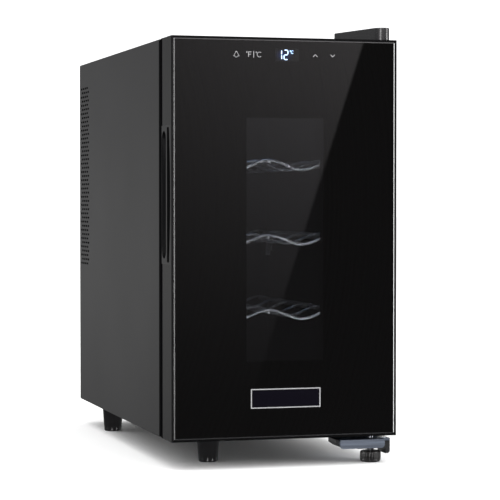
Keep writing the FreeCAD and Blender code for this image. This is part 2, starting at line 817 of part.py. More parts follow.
def upper_hinge_bracket():
    """Steel plate on top of the case that reaches forward over the door."""
    body = new_body("upper_hinge_bracket")
    nose = "(upper_pin_radius + bush_wall)"
    left = f"({PIN_X} - upper_bracket_width * 0.65)"
    right = f"({PIN_X} + {nose} - 0.6)"
    back = f"({PIN_Y} + upper_bracket_length * 0.86)"
    pad(body, "z", UPPER_PLATE, f"{UPPER_PLATE} + hinge_plate",
        polygon((f"{PIN_X} - {nose}", f"{PIN_Y} - {nose}"), (right, f"{PIN_Y} - {nose}"),
                (right, back), (left, back)),
        disc(PIN_X, PIN_Y, "upper_pin_radius"))
    pad(body, "z", TOP, UPPER_PLATE,
        rectangle(f"{PIN_X} - upper_bracket_width * 0.38", f"{right} - 1",
                  f"{WRAP_FRONT} + 10", f"{back} - 1"))
    drill = [disc(str(x), str(y), "screw_radius") for x, y in upper_screw_places()]
    cut(body, "z", TOP, f"{UPPER_PLATE} + hinge_plate", *drill)
    return body


def upper_hinge_pin():
    """Hollow pin that hangs from the upper bracket into the door and carries its leads."""
    body = new_body("upper_hinge_pin")
    pad(body, "z", f"{TOP} - bush_length + 2", f"{UPPER_PLATE} + hinge_plate",
        disc(PIN_X, PIN_Y, "upper_pin_radius"), disc(PIN_X, PIN_Y, "cable_bore_radius"))
    return body


def hinge_screws():
    """Screws of both hinges: two down into the top of the case and two up into its base."""
    sizes = (number("screw_radius"), number("screw_head_radius"), number("screw_head_height"), 8)
    top = number(UPPER_PLATE) + number("hinge_plate")
    under = number(BASE) - number("hinge_plate")
    upper = screws([(x, y, top) for x, y in upper_screw_places()], (0, 0, -1), *sizes)
    lower = screws([(x, y, under) for x, y in lower_screw_places()], (0, 0, 1), *sizes)
    return solid("hinge_screws", Part.makeCompound([upper, lower]))


def hinge_cover():
    """Black cap over the upper hinge: a wedge in plan with a round nose over the door."""
    body = new_body("hinge_cover")
    low = f"({TOP} + hinge_lift / 2)"
    high = f"({TOP} + cover_height)"
    right = f"({PIN_X} + cover_nose - 0.5)"
    nose = f"({PIN_Y} - cover_nose - 1)"
    rear = f"({CASE_FRONT} + cover_back)"

    def plan(inset):
        """Wedge outline, drawn in from the outside by an inset."""
        return polygon((f"{right} - 2 * cover_nose + {inset}", f"{nose} + {inset}"),
                       (f"{right} - {inset}", f"{nose} + {inset}"),
                       (f"{right} - {inset}", f"{rear} - {inset}"),
                       (f"{right} - cover_rear_width + {inset} * 1.3", f"{rear} - {inset}"))

    pad(body, "z", low, high, plan("0"))
    front = number(nose)
    fillet(body, "cover_nose - 0.6", lambda edge: lies_along(edge, "z") and near(edge, y=front))
    fillet(body, "cover_wall", lambda edge: lies_along(edge, "z") and near(edge, y=number(rear)))
    fillet(body, "cover_wall / 2", lambda edge: near(edge, z=number(high)))
    cut(body, "z", low, f"{high} - cover_wall", plan("cover_wall"))
    return body


# ---------------------------------------------------------------- shelves

def wave_wire(y, middle):
    """Wavy cross wire: tangent arcs with a crest in the middle and one at each end."""
    step, rise = number(WAVE_STEP), number("wave_height")
    quarter = step / 4
    radius = (quarter ** 2 + (rise / 2) ** 2) / rise
    arcs = []
    for index in range(-2, 3):
        up = 1 if index % 2 == 0 else -1
        centre = index * step / 2
        ends = (centre - quarter, centre + quarter)
        start, finish = [FreeCAD.Vector(x, y, middle) for x in ends]
        arcs.append(Part.Arc(start, FreeCAD.Vector(centre, y, middle + up * rise / 2), finish).toShape())
    turn = math.asin(quarter / radius)
    start = FreeCAD.Vector(-2 * step / 2 - quarter, y, middle)
    way = FreeCAD.Vector(math.cos(turn), 0, math.sin(turn))
    ring = Part.Wire([Part.makeCircle(number("wire_radius"), start, way)])
    return Part.Wire(arcs).makePipeShell([ring], True, False)


def shelf(name, level):
    """Welded wire shelf: wavy cross wires on two side rods and two bearers under the crests."""
    middle = number(shelf_rod_height(level))
    front = number(FRONT) + number("shelf_front")
    rear = number(SHELF_REAR)
    side, step = number(ROD_X), number(WAVE_STEP)
    places = []
    y = number(FRONT) + number("first_wire")
    while y < rear - number("wire_step") / 2:
        places.append(y)
        y += number("wire_step")
    places.append(rear - number("rod_radius"))
    wires = [wave_wire(y, middle) for y in places]
    thick, thin = number("rod_radius"), number("wire_radius")
    rods = [rod(thick, rear - front, x, front, middle, (0, 1, 0)) for x in (-side, side)]
    below = middle + number("wave_height") / 2 - 2 * thin + 0.2
    rods.append(rod(thin, rear - places[0], 0, places[0], below, (0, 1, 0)))
    rods += [rod(thin, rear - places[0], x, places[0], below, (0, 1, 0)) for x in (-step, step)]
    welded = rods[0].fuse(rods[1:] + wires)
    return solid(name, welded.removeSplitter())


# ---------------------------------------------------------------- cooling unit

def cold_block():
    """Aluminium block that carries heat through the rear wall."""
    body = new_body("cold_block")
    half = "(block_size / 2)"
    pad(body, "y", CABIN_REAR, f"{BAY_FRONT} + skin - module_thick",
        rectangle(f"-{half}", half, f"{UNIT_Z} - {half}", f"{UNIT_Z} + {half}"))
    return body


def thermoelectric_module():
    """Ceramic heat pump between the block and the hot sink."""
    body = new_body("thermoelectric_module")
    half = "(block_size / 2 - 1)"
    pad(body, "y", f"{BAY_FRONT} + skin - module_thick", f"{BAY_FRONT} + skin",
        rectangle(f"-{half}", half, f"{UNIT_Z} - {half}", f"{UNIT_Z} + {half}"))
    return body


def finned_sink(name, place, base, fin, wide, high):
    """Extruded sink with upright fins: its base lies at a place, its fins point the way of fin."""
    body = new_body(name)
    half_x, half_z = f"({wide} / 2)", f"({high} / 2)"
    base_end = f"({place} + {base})"
    fin_end = f"({base_end} + {fin})"
    low, high_z = f"{UNIT_Z} - {half_z}", f"{UNIT_Z} + {half_z}"
    ends = (place, base_end) if number(base) > 0 else (base_end, place)
    pad(body, "y", *ends, rectangle(f"-{half_x}", half_x, low, high_z))
    ends = (base_end, fin_end) if number(fin) > 0 else (fin_end, base_end)
    first = pad(body, "y", *ends, rectangle(f"-{half_x}", f"-{half_x} + fin_thick", low, high_z))
    count = int(number(wide) / number("fin_step")) + 1
    repeat(body, [first], "x", f"{wide} - fin_thick", count)
    return body


def fan_frame(name, size, front, thick):
    """Square fan frame with a round throat, four spokes and a motor seat at its rear."""
    half, deep = number(size) / 2, number(thick)
    y, z = number(front), number(UNIT_Z)
    rim, hub = number("fan_rim"), number("hub_radius")
    frame = box(-half, half, y, y + deep, z - half, z + half)
    corners = [edge for edge in frame.Edges if lies_along(edge, "y")]
    frame = frame.makeFillet(rim, corners)
    throat = rod(half - rim, deep + 2, 0, y - 1, z, (0, 1, 0))
    bolts = [rod(number("screw_radius"), deep + 2, sx * (half - 2 * rim), y - 1, z + sz * (half - 2 * rim),
                 (0, 1, 0)) for sx in (-1, 1) for sz in (-1, 1)]
    frame = frame.cut([throat] + bolts)
    plate = number("fan_rim")
    seat = rod(hub, plate, 0, y + deep - plate, z, (0, 1, 0))
    spokes = [seat]
    for turn in (45, 135, 225, 315):
        spoke = box(0, half - rim / 2, y + deep - plate, y + deep, z - rim / 2, z + rim / 2)
        spoke.rotate(FreeCAD.Vector(0, 0, z), FreeCAD.Vector(0, 1, 0), turn)
        spokes.append(spoke)
    shaft = rod(rim / 2, deep - 2 * plate, 0, y + plate, z, (0, 1, 0))
    return solid(name, frame.fuse(spokes + [shaft]).removeSplitter())


def fan_rotor(name, size, front, thick):
    """Fan rotor: a cup on the motor shaft with seven slanted blades."""
    half, deep = number(size) / 2, number(thick)
    y, z = number(front), number(UNIT_Z)
    rim, hub, gap = number("fan_rim"), number("hub_radius"), number("fan_gap")
    length = deep - rim - 2 * gap
    cup = rod(hub, length, 0, y + gap, z, (0, 1, 0))
    tip = half - rim - gap
    blades = []
    for index in range(7):
        blade = box(hub - 1, tip, y + gap, y + gap + length * 1.25, z - 0.6, z + 0.6)
        middle = FreeCAD.Vector((hub + tip) / 2, y + gap + length / 2, z)
        blade.rotate(middle, FreeCAD.Vector(1, 0, 0), 50)
        blade.rotate(FreeCAD.Vector(0, 0, z), FreeCAD.Vector(0, 1, 0), 360 / 7 * index)
        blades.append(blade)
    reach = rod(tip, length, 0, y + gap, z, (0, 1, 0))
    wheel = cup.fuse([blade.common(reach) for blade in blades])
    bore = rod(rim / 2 + number("hinge_fit"), length + 2, 0, y + gap - 1, z, (0, 1, 0))
    return solid(name, wheel.cut(bore).removeSplitter())


def fan_cover():
    """Cover over the cold fan inside the cabin, slotted in front, above and below."""
    body = new_body("fan_cover")
    half_x, half_z = "(fan_cover_width / 2)", "(fan_cover_height / 2)"
    front = f"({CABIN_REAR} - fan_cover_depth)"
    pad(body, "y", front, CABIN_REAR,
        rounded(f"-{half_x}", half_x, f"{UNIT_Z} - {half_z}", f"{UNIT_Z} + {half_z}", "liner_corner"))
    wall = "fan_cover_wall"
    cut(body, "y", f"{front} + {wall}", CABIN_REAR,
        rounded(f"-{half_x} + {wall}", f"{half_x} - {wall}", f"{UNIT_Z} - {half_z} + {wall}",
                f"{UNIT_Z} + {half_z} - {wall}", f"liner_corner - {wall}"))
    reach = "(cold_fan_size / 2)"
    slot = cut(body, "y", front, f"{front} + {wall}",
               rectangle(f"-{reach}", f"-{reach} + {wall} * 1.5",
                         f"{UNIT_Z} - {reach}", f"{UNIT_Z} + {reach}"))
    repeat(body, [slot], "x", f"2 * {reach} - {wall} * 1.5", 10)
    vent = cut(body, "z", f"{UNIT_Z} - {half_z}", f"{UNIT_Z} + {half_z}",
               rectangle(f"-{half_x} * 0.7", f"-{half_x} * 0.7 + {wall} * 4", f"{front} + {wall} * 4",
                         f"{CABIN_REAR} - {wall} * 4"))
    repeat(body, [vent], "x", f"{half_x} * 1.4 - {wall} * 4", 7)
    return body


# ---------------------------------------------------------------- electrics

def power_places():
    """Outline of the power board: left, right, low and high."""
    x, half = number("power_x"), number("power_width") / 2
    low = number(BASE) + number("power_bottom")
    return x - half, x + half, low, low + number("power_height")


def board_corners():
    """Centres of the four standoffs of the power board."""
    left, right, low, high = power_places()
    return [(x, z) for x in (left + 6, right - 6) for z in (low + 6, high - 6)]


def power_board():
    """Circuit board of the supply on the bulkhead."""
    left, right, low, high = power_places()
    front = number(BAY_FRONT) + number("skin") + number("standoff")
    board = box(left, right, front, front + number("board_thick"), low, high)
    holes = [rod(1.5, 4, x, front - 1, z, (0, 1, 0)) for x, z in board_corners()]
    return solid("power_board", board.cut(holes))


def board_standoffs():
    """Four standoffs between the bulkhead and the power board."""
    front = number(BAY_FRONT) + number("skin")
    deep = number("standoff")
    posts = [rod(3.0, deep, x, front, z, (0, 1, 0)).fuse(
        rod(1.5, deep + number("board_thick"), x, front, z, (0, 1, 0))).removeSplitter()
        for x, z in board_corners()]
    return solid("board_standoffs", Part.makeCompound(posts))


def power_components():
    """Transformer, capacitors and a cooled transistor on the power board."""
    left, right, low, high = power_places()
    back = number(BAY_FRONT) + number("skin") + number("standoff") + number("board_thick")
    middle = (low + high) / 2
    parts = [box(left + 16, left + 50, back, back + 26, middle - 15, middle + 15),
             rod(9, 28, left + 64, back, middle + 14, (0, 1, 0)),
             rod(9, 28, left + 64, back, middle - 14, (0, 1, 0)),
             box(left + 78, left + 80, back, back + 24, middle - 20, middle + 20),
             box(left + 86, left + 96, back, back + 12, middle - 6, middle + 6)]
    return solid("power_components", Part.makeCompound(parts))


def mains_inlet():
    """Flanged inlet socket in the rear panel."""
    body = new_body("mains_inlet")
    rear = f"({REAR} - panel_recess)"
    z = f"({BASE} + inlet_centre)"
    half_x, half_z = "(inlet_width / 2)", "(inlet_height / 2)"
    pad(body, "y", f"{rear} - inlet_depth", rear,
        rounded(f"inlet_x - {half_x} + play", f"inlet_x + {half_x} - play", f"{z} - {half_z} + play",
                f"{z} + {half_z} - play", "frame_lip / 3"))
    pad(body, "y", rear, f"{rear} + liner_wall",
        rounded(f"inlet_x - {half_x} - 5", f"inlet_x + {half_x} + 5", f"{z} - {half_z} - 3",
                f"{z} + {half_z} + 3", "frame_lip / 2"))
    wall = "(liner_wall + 1.2)"
    cut(body, "y", f"{rear} - inlet_depth + 5", f"{rear} + liner_wall",
        rounded(f"inlet_x - {half_x} + {wall}", f"inlet_x + {half_x} - {wall}",
                f"{z} - {half_z} + {wall}", f"{z} + {half_z} - {wall}", "frame_lip / 3"))
    return body


def inlet_pins():
    """Three flat pins inside the inlet."""
    rear = number(REAR) - number("panel_recess")
    root = rear - number("inlet_depth") + 5
    x, z = number("inlet_x"), number(BASE) + number("inlet_centre")
    places = [(x, z + 3.5), (x - 7, z - 1.5), (x + 7, z - 1.5)]
    pins = [box(px - 1, px + 1, root, rear - 3, pz - 2, pz + 2) for px, pz in places]
    return solid("inlet_pins", Part.makeCompound(pins))


def led_board():
    """Strip of lamps on the ceiling near the door."""
    body = new_body("led_board")
    front = f"({FRONT} + light_front + lens_wall * 2)"
    pad(body, "z", f"{CABIN_CEILING} - board_thick", CABIN_CEILING,
        rectangle("-light_width / 2 + lens_wall * 2", "light_width / 2 - lens_wall * 2", front,
                  f"{FRONT} + light_front + light_depth - lens_wall * 2"))
    return body


def led_lens():
    """Frosted cover of the lamps."""
    body = new_body("led_lens")
    pad(body, "z", f"{CABIN_CEILING} - lens_height", CABIN_CEILING,
        rounded("-light_width / 2", "light_width / 2", f"{FRONT} + light_front",
                f"{FRONT} + light_front + light_depth", "lens_wall * 2"))
    cut(body, "z", f"{CABIN_CEILING} - lens_height + lens_wall", CABIN_CEILING,
        rounded("-light_width / 2 + lens_wall", "light_width / 2 - lens_wall",
                f"{FRONT} + light_front + lens_wall",
                f"{FRONT} + light_front + light_depth - lens_wall", "lens_wall"))
    return body


def temperature_sensor():
    """Sensor bulb in a foot on the right wall of the cabin."""
    x = number(CABIN_SIDE)
    y = number(CABIN_REAR) - number("fan_cover_depth") / 2
    z = number(UNIT_Z) - number("fan_cover_height") / 2
    radius, length = number("sensor_radius"), number("sensor_length")
    bulb = rod(radius, length, x - radius - 2, y, z, (0, 0, 1))
    foot = box(x - radius - 2, x, y - radius, y + radius, z + length / 4, z + length * 0.75)
    return solid("temperature_sensor", bulb.fuse(foot).removeSplitter())


# ---------------------------------------------------------------- door

FRAME_SIDE = "(width / 2 - door_wall)"
FRAME_LOW = f"({BASE} + door_wall)"
FRAME_HIGH = f"({TOP} - door_wall)"
SEAT_BACK = f"({MASK_BACK} + seat_thick)"
PANEL_FRONT = f"({DOOR_BACK} - door_panel_thick)"
HANDLE_LOW = f"({BASE} + body_height / 2 + handle_rise - handle_length / 2)"
HANDLE_HIGH = f"({HANDLE_LOW} + handle_length)"
HANDLE_Y = (f"({FRONT} + handle_front)", f"({FRONT} + handle_rear)")
CONTROL_Z = f"({TOP} - control_drop)"
BLOCK = "(lower_pin_radius + hinge_fit + bush_wall + block_margin)"


def window(margin):
    """Outline of the window, grown by a margin on every side."""
    half = f"(window_width / 2 + {margin})"
    return rectangle(f"-{half}", half, f"{WINDOW_LOW} - ({margin})", f"{WINDOW_HIGH} + ({margin})")


def door_frame():
    """Painted metal frame of the door: four walls, a seat for the glass and two hinge blocks."""
    body = new_body("door_frame")
    side = FRAME_SIDE
    pad(body, "y", FRONT, DOOR_BACK, rectangle(LEFT, RIGHT, BASE, TOP),
        rectangle(f"-{side}", side, FRAME_LOW, FRAME_HIGH))
    lip = f"(door_wall / 2)"
    inner = f"({side} - glass_seat)"
    pad(body, "y", MASK_BACK, SEAT_BACK,
        rectangle(f"-{side} - {lip}", f"{side} + {lip}", f"{FRAME_LOW} - {lip}", f"{FRAME_HIGH} + {lip}"),
        rectangle(f"-{inner}", inner, f"{FRAME_LOW} + glass_seat", f"{FRAME_HIGH} - glass_seat"))
    block = rectangle(f"{PIN_X} - {BLOCK}", f"{side} + {lip}", f"{PIN_Y} - {BLOCK}", f"{PIN_Y} + {BLOCK}")
    pad(body, "z", f"{BASE} + {lip}", f"{BASE} + bush_length + 2", block)
    pad(body, "z", f"{TOP} - bush_length - 2", f"{TOP} - {lip}", block)
    front = number(FRONT)
    fillet(body, "door_corner", lambda edge: near(edge, y=front) and edge.BoundBox.DiagonalLength > 300
           and max(abs(edge.BoundBox.Center.x), abs(edge.BoundBox.Center.z - number(BASE)
                   - number("body_height") / 2)) > min(number(RIGHT), number("body_height") / 2) - 0.1
           and outermost(edge))
    cut(body, "x", LEFT, f"{LEFT} + handle_depth + play",
        rectangle(HANDLE_Y[0], HANDLE_Y[1], HANDLE_LOW, HANDLE_HIGH))
    cut(body, "z", BASE, f"{BASE} + bush_length",
        disc(PIN_X, PIN_Y, "lower_pin_radius + hinge_fit + bush_wall"))
    cut(body, "z", f"{TOP} - bush_length", TOP,
        disc(PIN_X, PIN_Y, "upper_pin_radius + hinge_fit + bush_wall"))
    return body


def outermost(edge):
    """Tell whether an edge of the door frame lies on the door's outline."""
    middle = edge.BoundBox.Center
    side = abs(abs(middle.x) - number(RIGHT)) < 0.01
    end = min(abs(middle.z - number(BASE)), abs(middle.z - number(TOP))) < 0.01
    return side or end


def door_glass():
    """Front pane, flush behind the lip of the frame, with a ground bevel."""
    body = new_body("door_glass")
    side = f"({FRAME_SIDE} - play / 2)"
    pad(body, "y", GLASS_FRONT, GLASS_BACK,
        rectangle(f"-{side}", side, f"{FRAME_LOW} + play / 2", f"{FRAME_HIGH} - play / 2"))
    chamfer(body, "glass_bevel", lambda edge: near(edge, y=number(GLASS_FRONT)))
    return body


def glass_mask():
    """Opaque black layer on the back of the front pane, open at the window and the display."""
    body = new_body("glass_mask")
    side = f"({FRAME_SIDE} - play / 2)"
    half_x, half_z = "(display_width / 2)", "(display_height / 2)"
    pad(body, "y", GLASS_BACK, MASK_BACK,
        rectangle(f"-{side}", side, f"{FRAME_LOW} + play / 2", f"{FRAME_HIGH} - play / 2"), window("0"),
        rectangle(f"display_offset - {half_x}", f"display_offset + {half_x}", f"{CONTROL_Z} - {half_z}",
                  f"{CONTROL_Z} + {half_z}"))
    return body


def glazing_spacer():
    """Black spacer that holds the two panes apart round the window."""
    body = new_body("glazing_spacer")
    pad(body, "y", MASK_BACK, f"{MASK_BACK} + glazing_space",
        window("glazing_border"), window("spacer_inset"))
    return body


def inner_glass():
    """Second pane behind the window."""
    body = new_body("inner_glass")
    start = f"({MASK_BACK} + glazing_space)"
    pad(body, "y", start, f"{start} + inner_glass_thick", window("glazing_border"))
    return body


def door_back_panel():
    """Moulded inner face of the door with a groove for the gasket and a tunnel to the window."""
    body = new_body("door_back_panel")
    side = f"({FRAME_SIDE} - play)"
    pad(body, "y", PANEL_FRONT, DOOR_BACK,
        rectangle(f"-{side}", side, f"{FRAME_LOW} + play", f"{FRAME_HIGH} - play"),
        window("tunnel_margin"))
    glass_back = f"({MASK_BACK} + glazing_space + inner_glass_thick)"
    pad(body, "y", f"{glass_back} + play", PANEL_FRONT,
        window("tunnel_margin + door_wall"), window("tunnel_margin"))
    cut(body, "y", f"{DOOR_BACK} - gasket_seat", DOOR_BACK, *gasket_ring("-play"))
    return body


def gasket_ring(trim):
    """Outer and inner outline of the gasket, each drawn in by a trim."""
    outer = f"(gasket_inset + ({trim}))"
    inner = f"(gasket_inset + gasket_width - ({trim}))"
    side = "width / 2"
    outside = rectangle(f"{outer} - {side}", f"{side} - {outer}", f"{BASE} + {outer}", f"{TOP} - {outer}")
    inside = rectangle(f"{inner} - {side}", f"{side} - {inner}", f"{BASE} + {inner}", f"{TOP} - {inner}")
    return outside, inside


GASKET_BACK = f"({CASE_FRONT} - gasket_play)"
MAGNET_WALL = "1.2"


def door_gasket():
    """Rubber seal round the back of the door, with a channel for the magnet."""
    body = new_body("door_gasket")
    pad(body, "y", f"{DOOR_BACK} - gasket_seat", GASKET_BACK, *gasket_ring("0"))
    cut(body, "y", f"{DOOR_BACK} - gasket_seat", f"{GASKET_BACK} - {MAGNET_WALL}",
        *gasket_ring("gasket_width / 5"))
    return body


def gasket_magnet():
    """Magnetic strip that lies in the gasket's channel."""
    body = new_body("gasket_magnet")
    pad(body, "y", f"{GASKET_BACK} - {MAGNET_WALL} - magnet_thick", f"{GASKET_BACK} - {MAGNET_WALL}",
        *gasket_ring("gasket_width / 5 + play / 2"))
    return body


def door_foam():
    """Foam inside the door, round the glazing, the handle, the controls and the hinge blocks."""
    body = new_body("door_foam")
    side = f"({FRAME_SIDE} - play)"
    pad(body, "y", f"{SEAT_BACK} + play", f"{PANEL_FRONT} - play",
        rectangle(f"-{side}", side, f"{FRAME_LOW} + play", f"{FRAME_HIGH} - play"),
        window("glazing_border + play"))
    cut(body, "x", f"-{side}", f"{LEFT} + handle_depth + play",
        rectangle(f"{HANDLE_Y[0]}", f"{PANEL_FRONT}", f"{HANDLE_LOW} - play", f"{HANDLE_HIGH} + play"))
    half = "(board_length / 2 + play)"
    cut(body, "y", SEAT_BACK, f"{MASK_BACK} + display_thick + board_thick + play",
        rectangle(f"-{half}", half, f"{CONTROL_Z} - board_width / 2 - play",
                  f"{CONTROL_Z} + board_width / 2 + play"))
    block = rectangle(f"{PIN_X} - {BLOCK} - play", side, f"{SEAT_BACK}", f"{PIN_Y} + {BLOCK} + play")
    cut(body, "z", f"{FRAME_LOW}", f"{BASE} + bush_length + 2 + play", block)
    cut(body, "z", f"{TOP} - bush_length - 2 - play", FRAME_HIGH, block)
    return body


def control_board():
    """Touch control board behind the top of the pane."""
    body = new_body("control_board")
    front = f"({MASK_BACK} + display_thick)"
    pad(body, "y", front, f"{front} + board_thick",
        rectangle("-board_length / 2", "board_length / 2", f"{CONTROL_Z} - board_width / 2",
                  f"{CONTROL_Z} + board_width / 2"))
    return body


def display_module():
    """Lit number display between the pane and the control board."""
    body = new_body("display_module")
    half_x, half_z = "(display_width / 2 + 1)", "(display_height / 2 + 1)"
    pad(body, "y", MASK_BACK, f"{MASK_BACK} + display_thick",
        rectangle(f"display_offset - {half_x}", f"display_offset + {half_x}", f"{CONTROL_Z} - {half_z}",
                  f"{CONTROL_Z} + {half_z}"))
    return body


def badge(inset):
    """Outline of the badge on the lower part of the pane, drawn in by an inset."""
    half_x = f"(badge_width / 2 - {inset})"
    half_z = f"(badge_height / 2 - {inset})"
    z = f"({BASE} + badge_centre)"
    return rectangle(f"-{half_x}", half_x, f"{z} - {half_z}", f"{z} + {half_z}")


def badge_border():
    """Silver rim of the badge."""
    body = new_body("badge_border")
    pad(body, "y", f"{GLASS_FRONT} - badge_thick", GLASS_FRONT, badge("0"), badge("badge_border_width"))
    return body


def badge_plate():
    """Blank plate inside the badge's rim."""
    body = new_body("badge_plate")
    pad(body, "y", f"{GLASS_FRONT} - badge_thick * 0.6", GLASS_FRONT, badge("badge_border_width"))
    return body


def door_bush(name, radius, low, high):
    """Nylon bush that turns on a hinge pin."""
    body = new_body(name)
    pad(body, "z", low, high, disc(PIN_X, PIN_Y, f"{radius} + hinge_fit + bush_wall"),
        disc(PIN_X, PIN_Y, f"{radius} + hinge_fit"))
    return body


def bowed_groove(y_rear, width, bow, low, high):
    """Long slot outline whose front edge swells forward in its middle, for a sketch square to X."""
    def draw(sketch):
        first = sketch.GeometryCount
        y1, z0, z1 = number(y_rear), number(low), number(high)
        y0 = y1 - number(width)
        middle = FreeCAD.Vector(y0 - number(bow), (z0 + z1) / 2, 0)
        corner = {"front_low": FreeCAD.Vector(y0, z0, 0), "rear_low": FreeCAD.Vector(y1, z0, 0),
                  "rear_high": FreeCAD.Vector(y1, z1, 0), "front_high": FreeCAD.Vector(y0, z1, 0)}
        sketch.addGeometry(Part.LineSegment(corner["front_low"], corner["rear_low"]), False)
        sketch.addGeometry(Part.LineSegment(corner["rear_low"], corner["rear_high"]), False)
        sketch.addGeometry(Part.LineSegment(corner["rear_high"], corner["front_high"]), False)
        sketch.addGeometry(Part.Arc(corner["front_high"], middle, corner["front_low"]), False)
        for index in range(2):
            sketch.addConstraint(Sketcher.Constraint("Coincident", first + index, 2, first + index + 1, 1))
        sketch.addConstraint(Sketcher.Constraint("Coincident", first + 2, 2, first + 3, 1))
        sketch.addConstraint(Sketcher.Constraint("Coincident", first + 3, 2, first, 1))
        sketch.addConstraint(Sketcher.Constraint("Horizontal", first))
        sketch.addConstraint(Sketcher.Constraint("Vertical", first + 1))
        sketch.addConstraint(Sketcher.Constraint("Horizontal", first + 2))
        fix(sketch, "DistanceX", (-1, 1, first, 1), f"{y_rear} - {width}", y0)
        fix(sketch, "DistanceX", (-1, 1, first, 2), y_rear, y1)
        fix(sketch, "DistanceX", (-1, 1, first + 2, 2), f"{y_rear} - {width}", y0)
        fix(sketch, "DistanceY", (-1, 1, first, 1), low, z0)
        fix(sketch, "DistanceY", (-1, 1, first + 2, 1), high, z1)
        half = (z1 - z0) / 2
        text = f"(({high} - {low}) * ({high} - {low}) / 4 + {bow} * {bow}) / (2 * {bow})"
        fix(sketch, "Radius", (first + 3,), text, (half ** 2 + number(bow) ** 2) / (2 * number(bow)))
    return draw


def handle_insert():
    """Moulded grip let into the left side: a finger pocket and a bowed groove before it."""
    body = new_body("handle_insert")
    pad(body, "x", LEFT, f"{LEFT} + handle_depth",
        rectangle(HANDLE_Y[0], HANDLE_Y[1], HANDLE_LOW, HANDLE_HIGH))
    half = "((finger_rear - finger_front) / 2 - 0.05)"
    cut(body, "x", LEFT, f"{LEFT} + finger_depth",
        rounded(f"{FRONT} + finger_front", f"{FRONT} + finger_rear", f"{HANDLE_LOW} + finger_margin",
                f"{HANDLE_HIGH} - finger_margin", half))
    cut(body, "x", LEFT, f"{LEFT} + groove_depth",
        bowed_groove(f"({FRONT} + groove_rear)", "groove_width", "groove_bow",
                     f"({HANDLE_LOW} + handle_wall)", f"({HANDLE_HIGH} - handle_wall)"))
    return body


# ---------------------------------------------------------------- assembly

def build():
    """Make every sub-part and return them in order."""
    pieces = [outer_case(), base_pan(), front_frame(), inner_liner(), foam_insulation(), bulkhead(),
              back_panel(), back_panel_screws()]
    pieces += [plain_foot(name, x, y) for name, (x, y) in FEET.items()]
    pieces += [foot_screws(), levelling_knob(), levelling_stud(), levelling_nut()]
    pieces += [lower_hinge_bracket(), lower_hinge_pin(), lower_hinge_washer(), lower_hinge_shroud(),
               upper_hinge_bracket(), upper_hinge_pin(), hinge_screws(), hinge_cover()]
    pieces += [shelf(name, level)
               for level, name in enumerate(("lower_shelf", "middle_shelf", "upper_shelf"))]
    cold_sink = ("cold_sink_width", "cold_sink_height")
    hot_sink = ("hot_sink_width", "hot_sink_height")
    hot_place = f"({BAY_FRONT} + skin)"
    pieces += [cold_block(), thermoelectric_module(),
               finned_sink("cold_heatsink", CABIN_REAR, "(-cold_base)", "(-cold_fin)", *cold_sink),
               finned_sink("hot_heatsink", hot_place, "hot_base", "hot_fin", *hot_sink)]
    cold_front = f"({CABIN_REAR} - cold_base - cold_fin - cold_fan_thick)"
    hot_front = f"({hot_place} + hot_base + hot_fin)"
    pieces += [fan_frame("cold_fan_frame", "cold_fan_size", cold_front, "cold_fan_thick"),
               fan_rotor("cold_fan_rotor", "cold_fan_size", cold_front, "cold_fan_thick"),
               fan_frame("hot_fan_frame", "hot_fan_size", hot_front, "hot_fan_thick"),
               fan_rotor("hot_fan_rotor", "hot_fan_size", hot_front, "hot_fan_thick"), fan_cover()]
    pieces += [power_board(), board_standoffs(), power_components(), mains_inlet(), inlet_pins(),
               led_board(), led_lens(), temperature_sensor()]
    pieces += [door_frame(), door_glass(), glass_mask(), glazing_spacer(), inner_glass(),
               door_back_panel(), door_gasket(), gasket_magnet(), door_foam(), control_board(),
               display_module(), badge_border(), badge_plate(), handle_insert()]
    pieces += [door_bush("lower_door_bush", "lower_pin_radius", BASE, f"{BASE} + bush_length"),
               door_bush("upper_door_bush", "upper_pin_radius", f"{TOP} - bush_length", TOP)]
    return pieces


def export(pieces):
    """Check every object, then write each sub-part to its own file."""
    doc.recompute()
    failed = [item.Label for item in doc.Objects if {"Invalid", "Error"} & set(item.State)]
    if failed:
        raise RuntimeError(f"failed objects: {failed}")
    for piece in pieces:
        if piece.Shape.isNull() or not piece.Shape.isValid() or not piece.Shape.Solids:
            raise RuntimeError(f"{piece.Label} has no valid solid")
    os.makedirs("parts", exist_ok=True)
    for piece in pieces:
        piece.Shape.exportStep(os.path.join("parts", f"{piece.Label}.step"))
    print(f"{len(pieces)} sub-parts written")


export(build())
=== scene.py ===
"""Slim wine cooler: its finishes, mouldings and studio, built round the fixed frame."""
import logging
import math
from dataclasses import dataclass, field
from enum import Enum
from typing import Callable, Iterable, Optional, Sequence

import bmesh
import bpy
from mathutils import Matrix, Vector


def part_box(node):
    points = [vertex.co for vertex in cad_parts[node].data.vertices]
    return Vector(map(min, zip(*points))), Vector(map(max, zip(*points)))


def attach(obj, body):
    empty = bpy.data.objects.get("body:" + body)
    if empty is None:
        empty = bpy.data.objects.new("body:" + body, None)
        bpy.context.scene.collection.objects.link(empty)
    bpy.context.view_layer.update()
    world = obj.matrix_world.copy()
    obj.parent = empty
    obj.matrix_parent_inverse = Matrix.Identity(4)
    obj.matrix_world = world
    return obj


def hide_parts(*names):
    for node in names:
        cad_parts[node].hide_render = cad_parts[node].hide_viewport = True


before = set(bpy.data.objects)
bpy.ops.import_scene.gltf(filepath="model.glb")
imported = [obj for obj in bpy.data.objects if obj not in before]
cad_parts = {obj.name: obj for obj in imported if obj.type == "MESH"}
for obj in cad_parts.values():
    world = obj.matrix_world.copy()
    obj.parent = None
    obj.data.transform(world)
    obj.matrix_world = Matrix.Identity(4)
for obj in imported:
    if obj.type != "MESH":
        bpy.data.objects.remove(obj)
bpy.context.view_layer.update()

LOG = logging.getLogger("wine_cooler")
MM = 0.001
FLUSH = 1e-3
COAT_ROUGHNESS = 0.12
DUST_COLOUR = (0.55, 0.53, 0.5, 1.0)
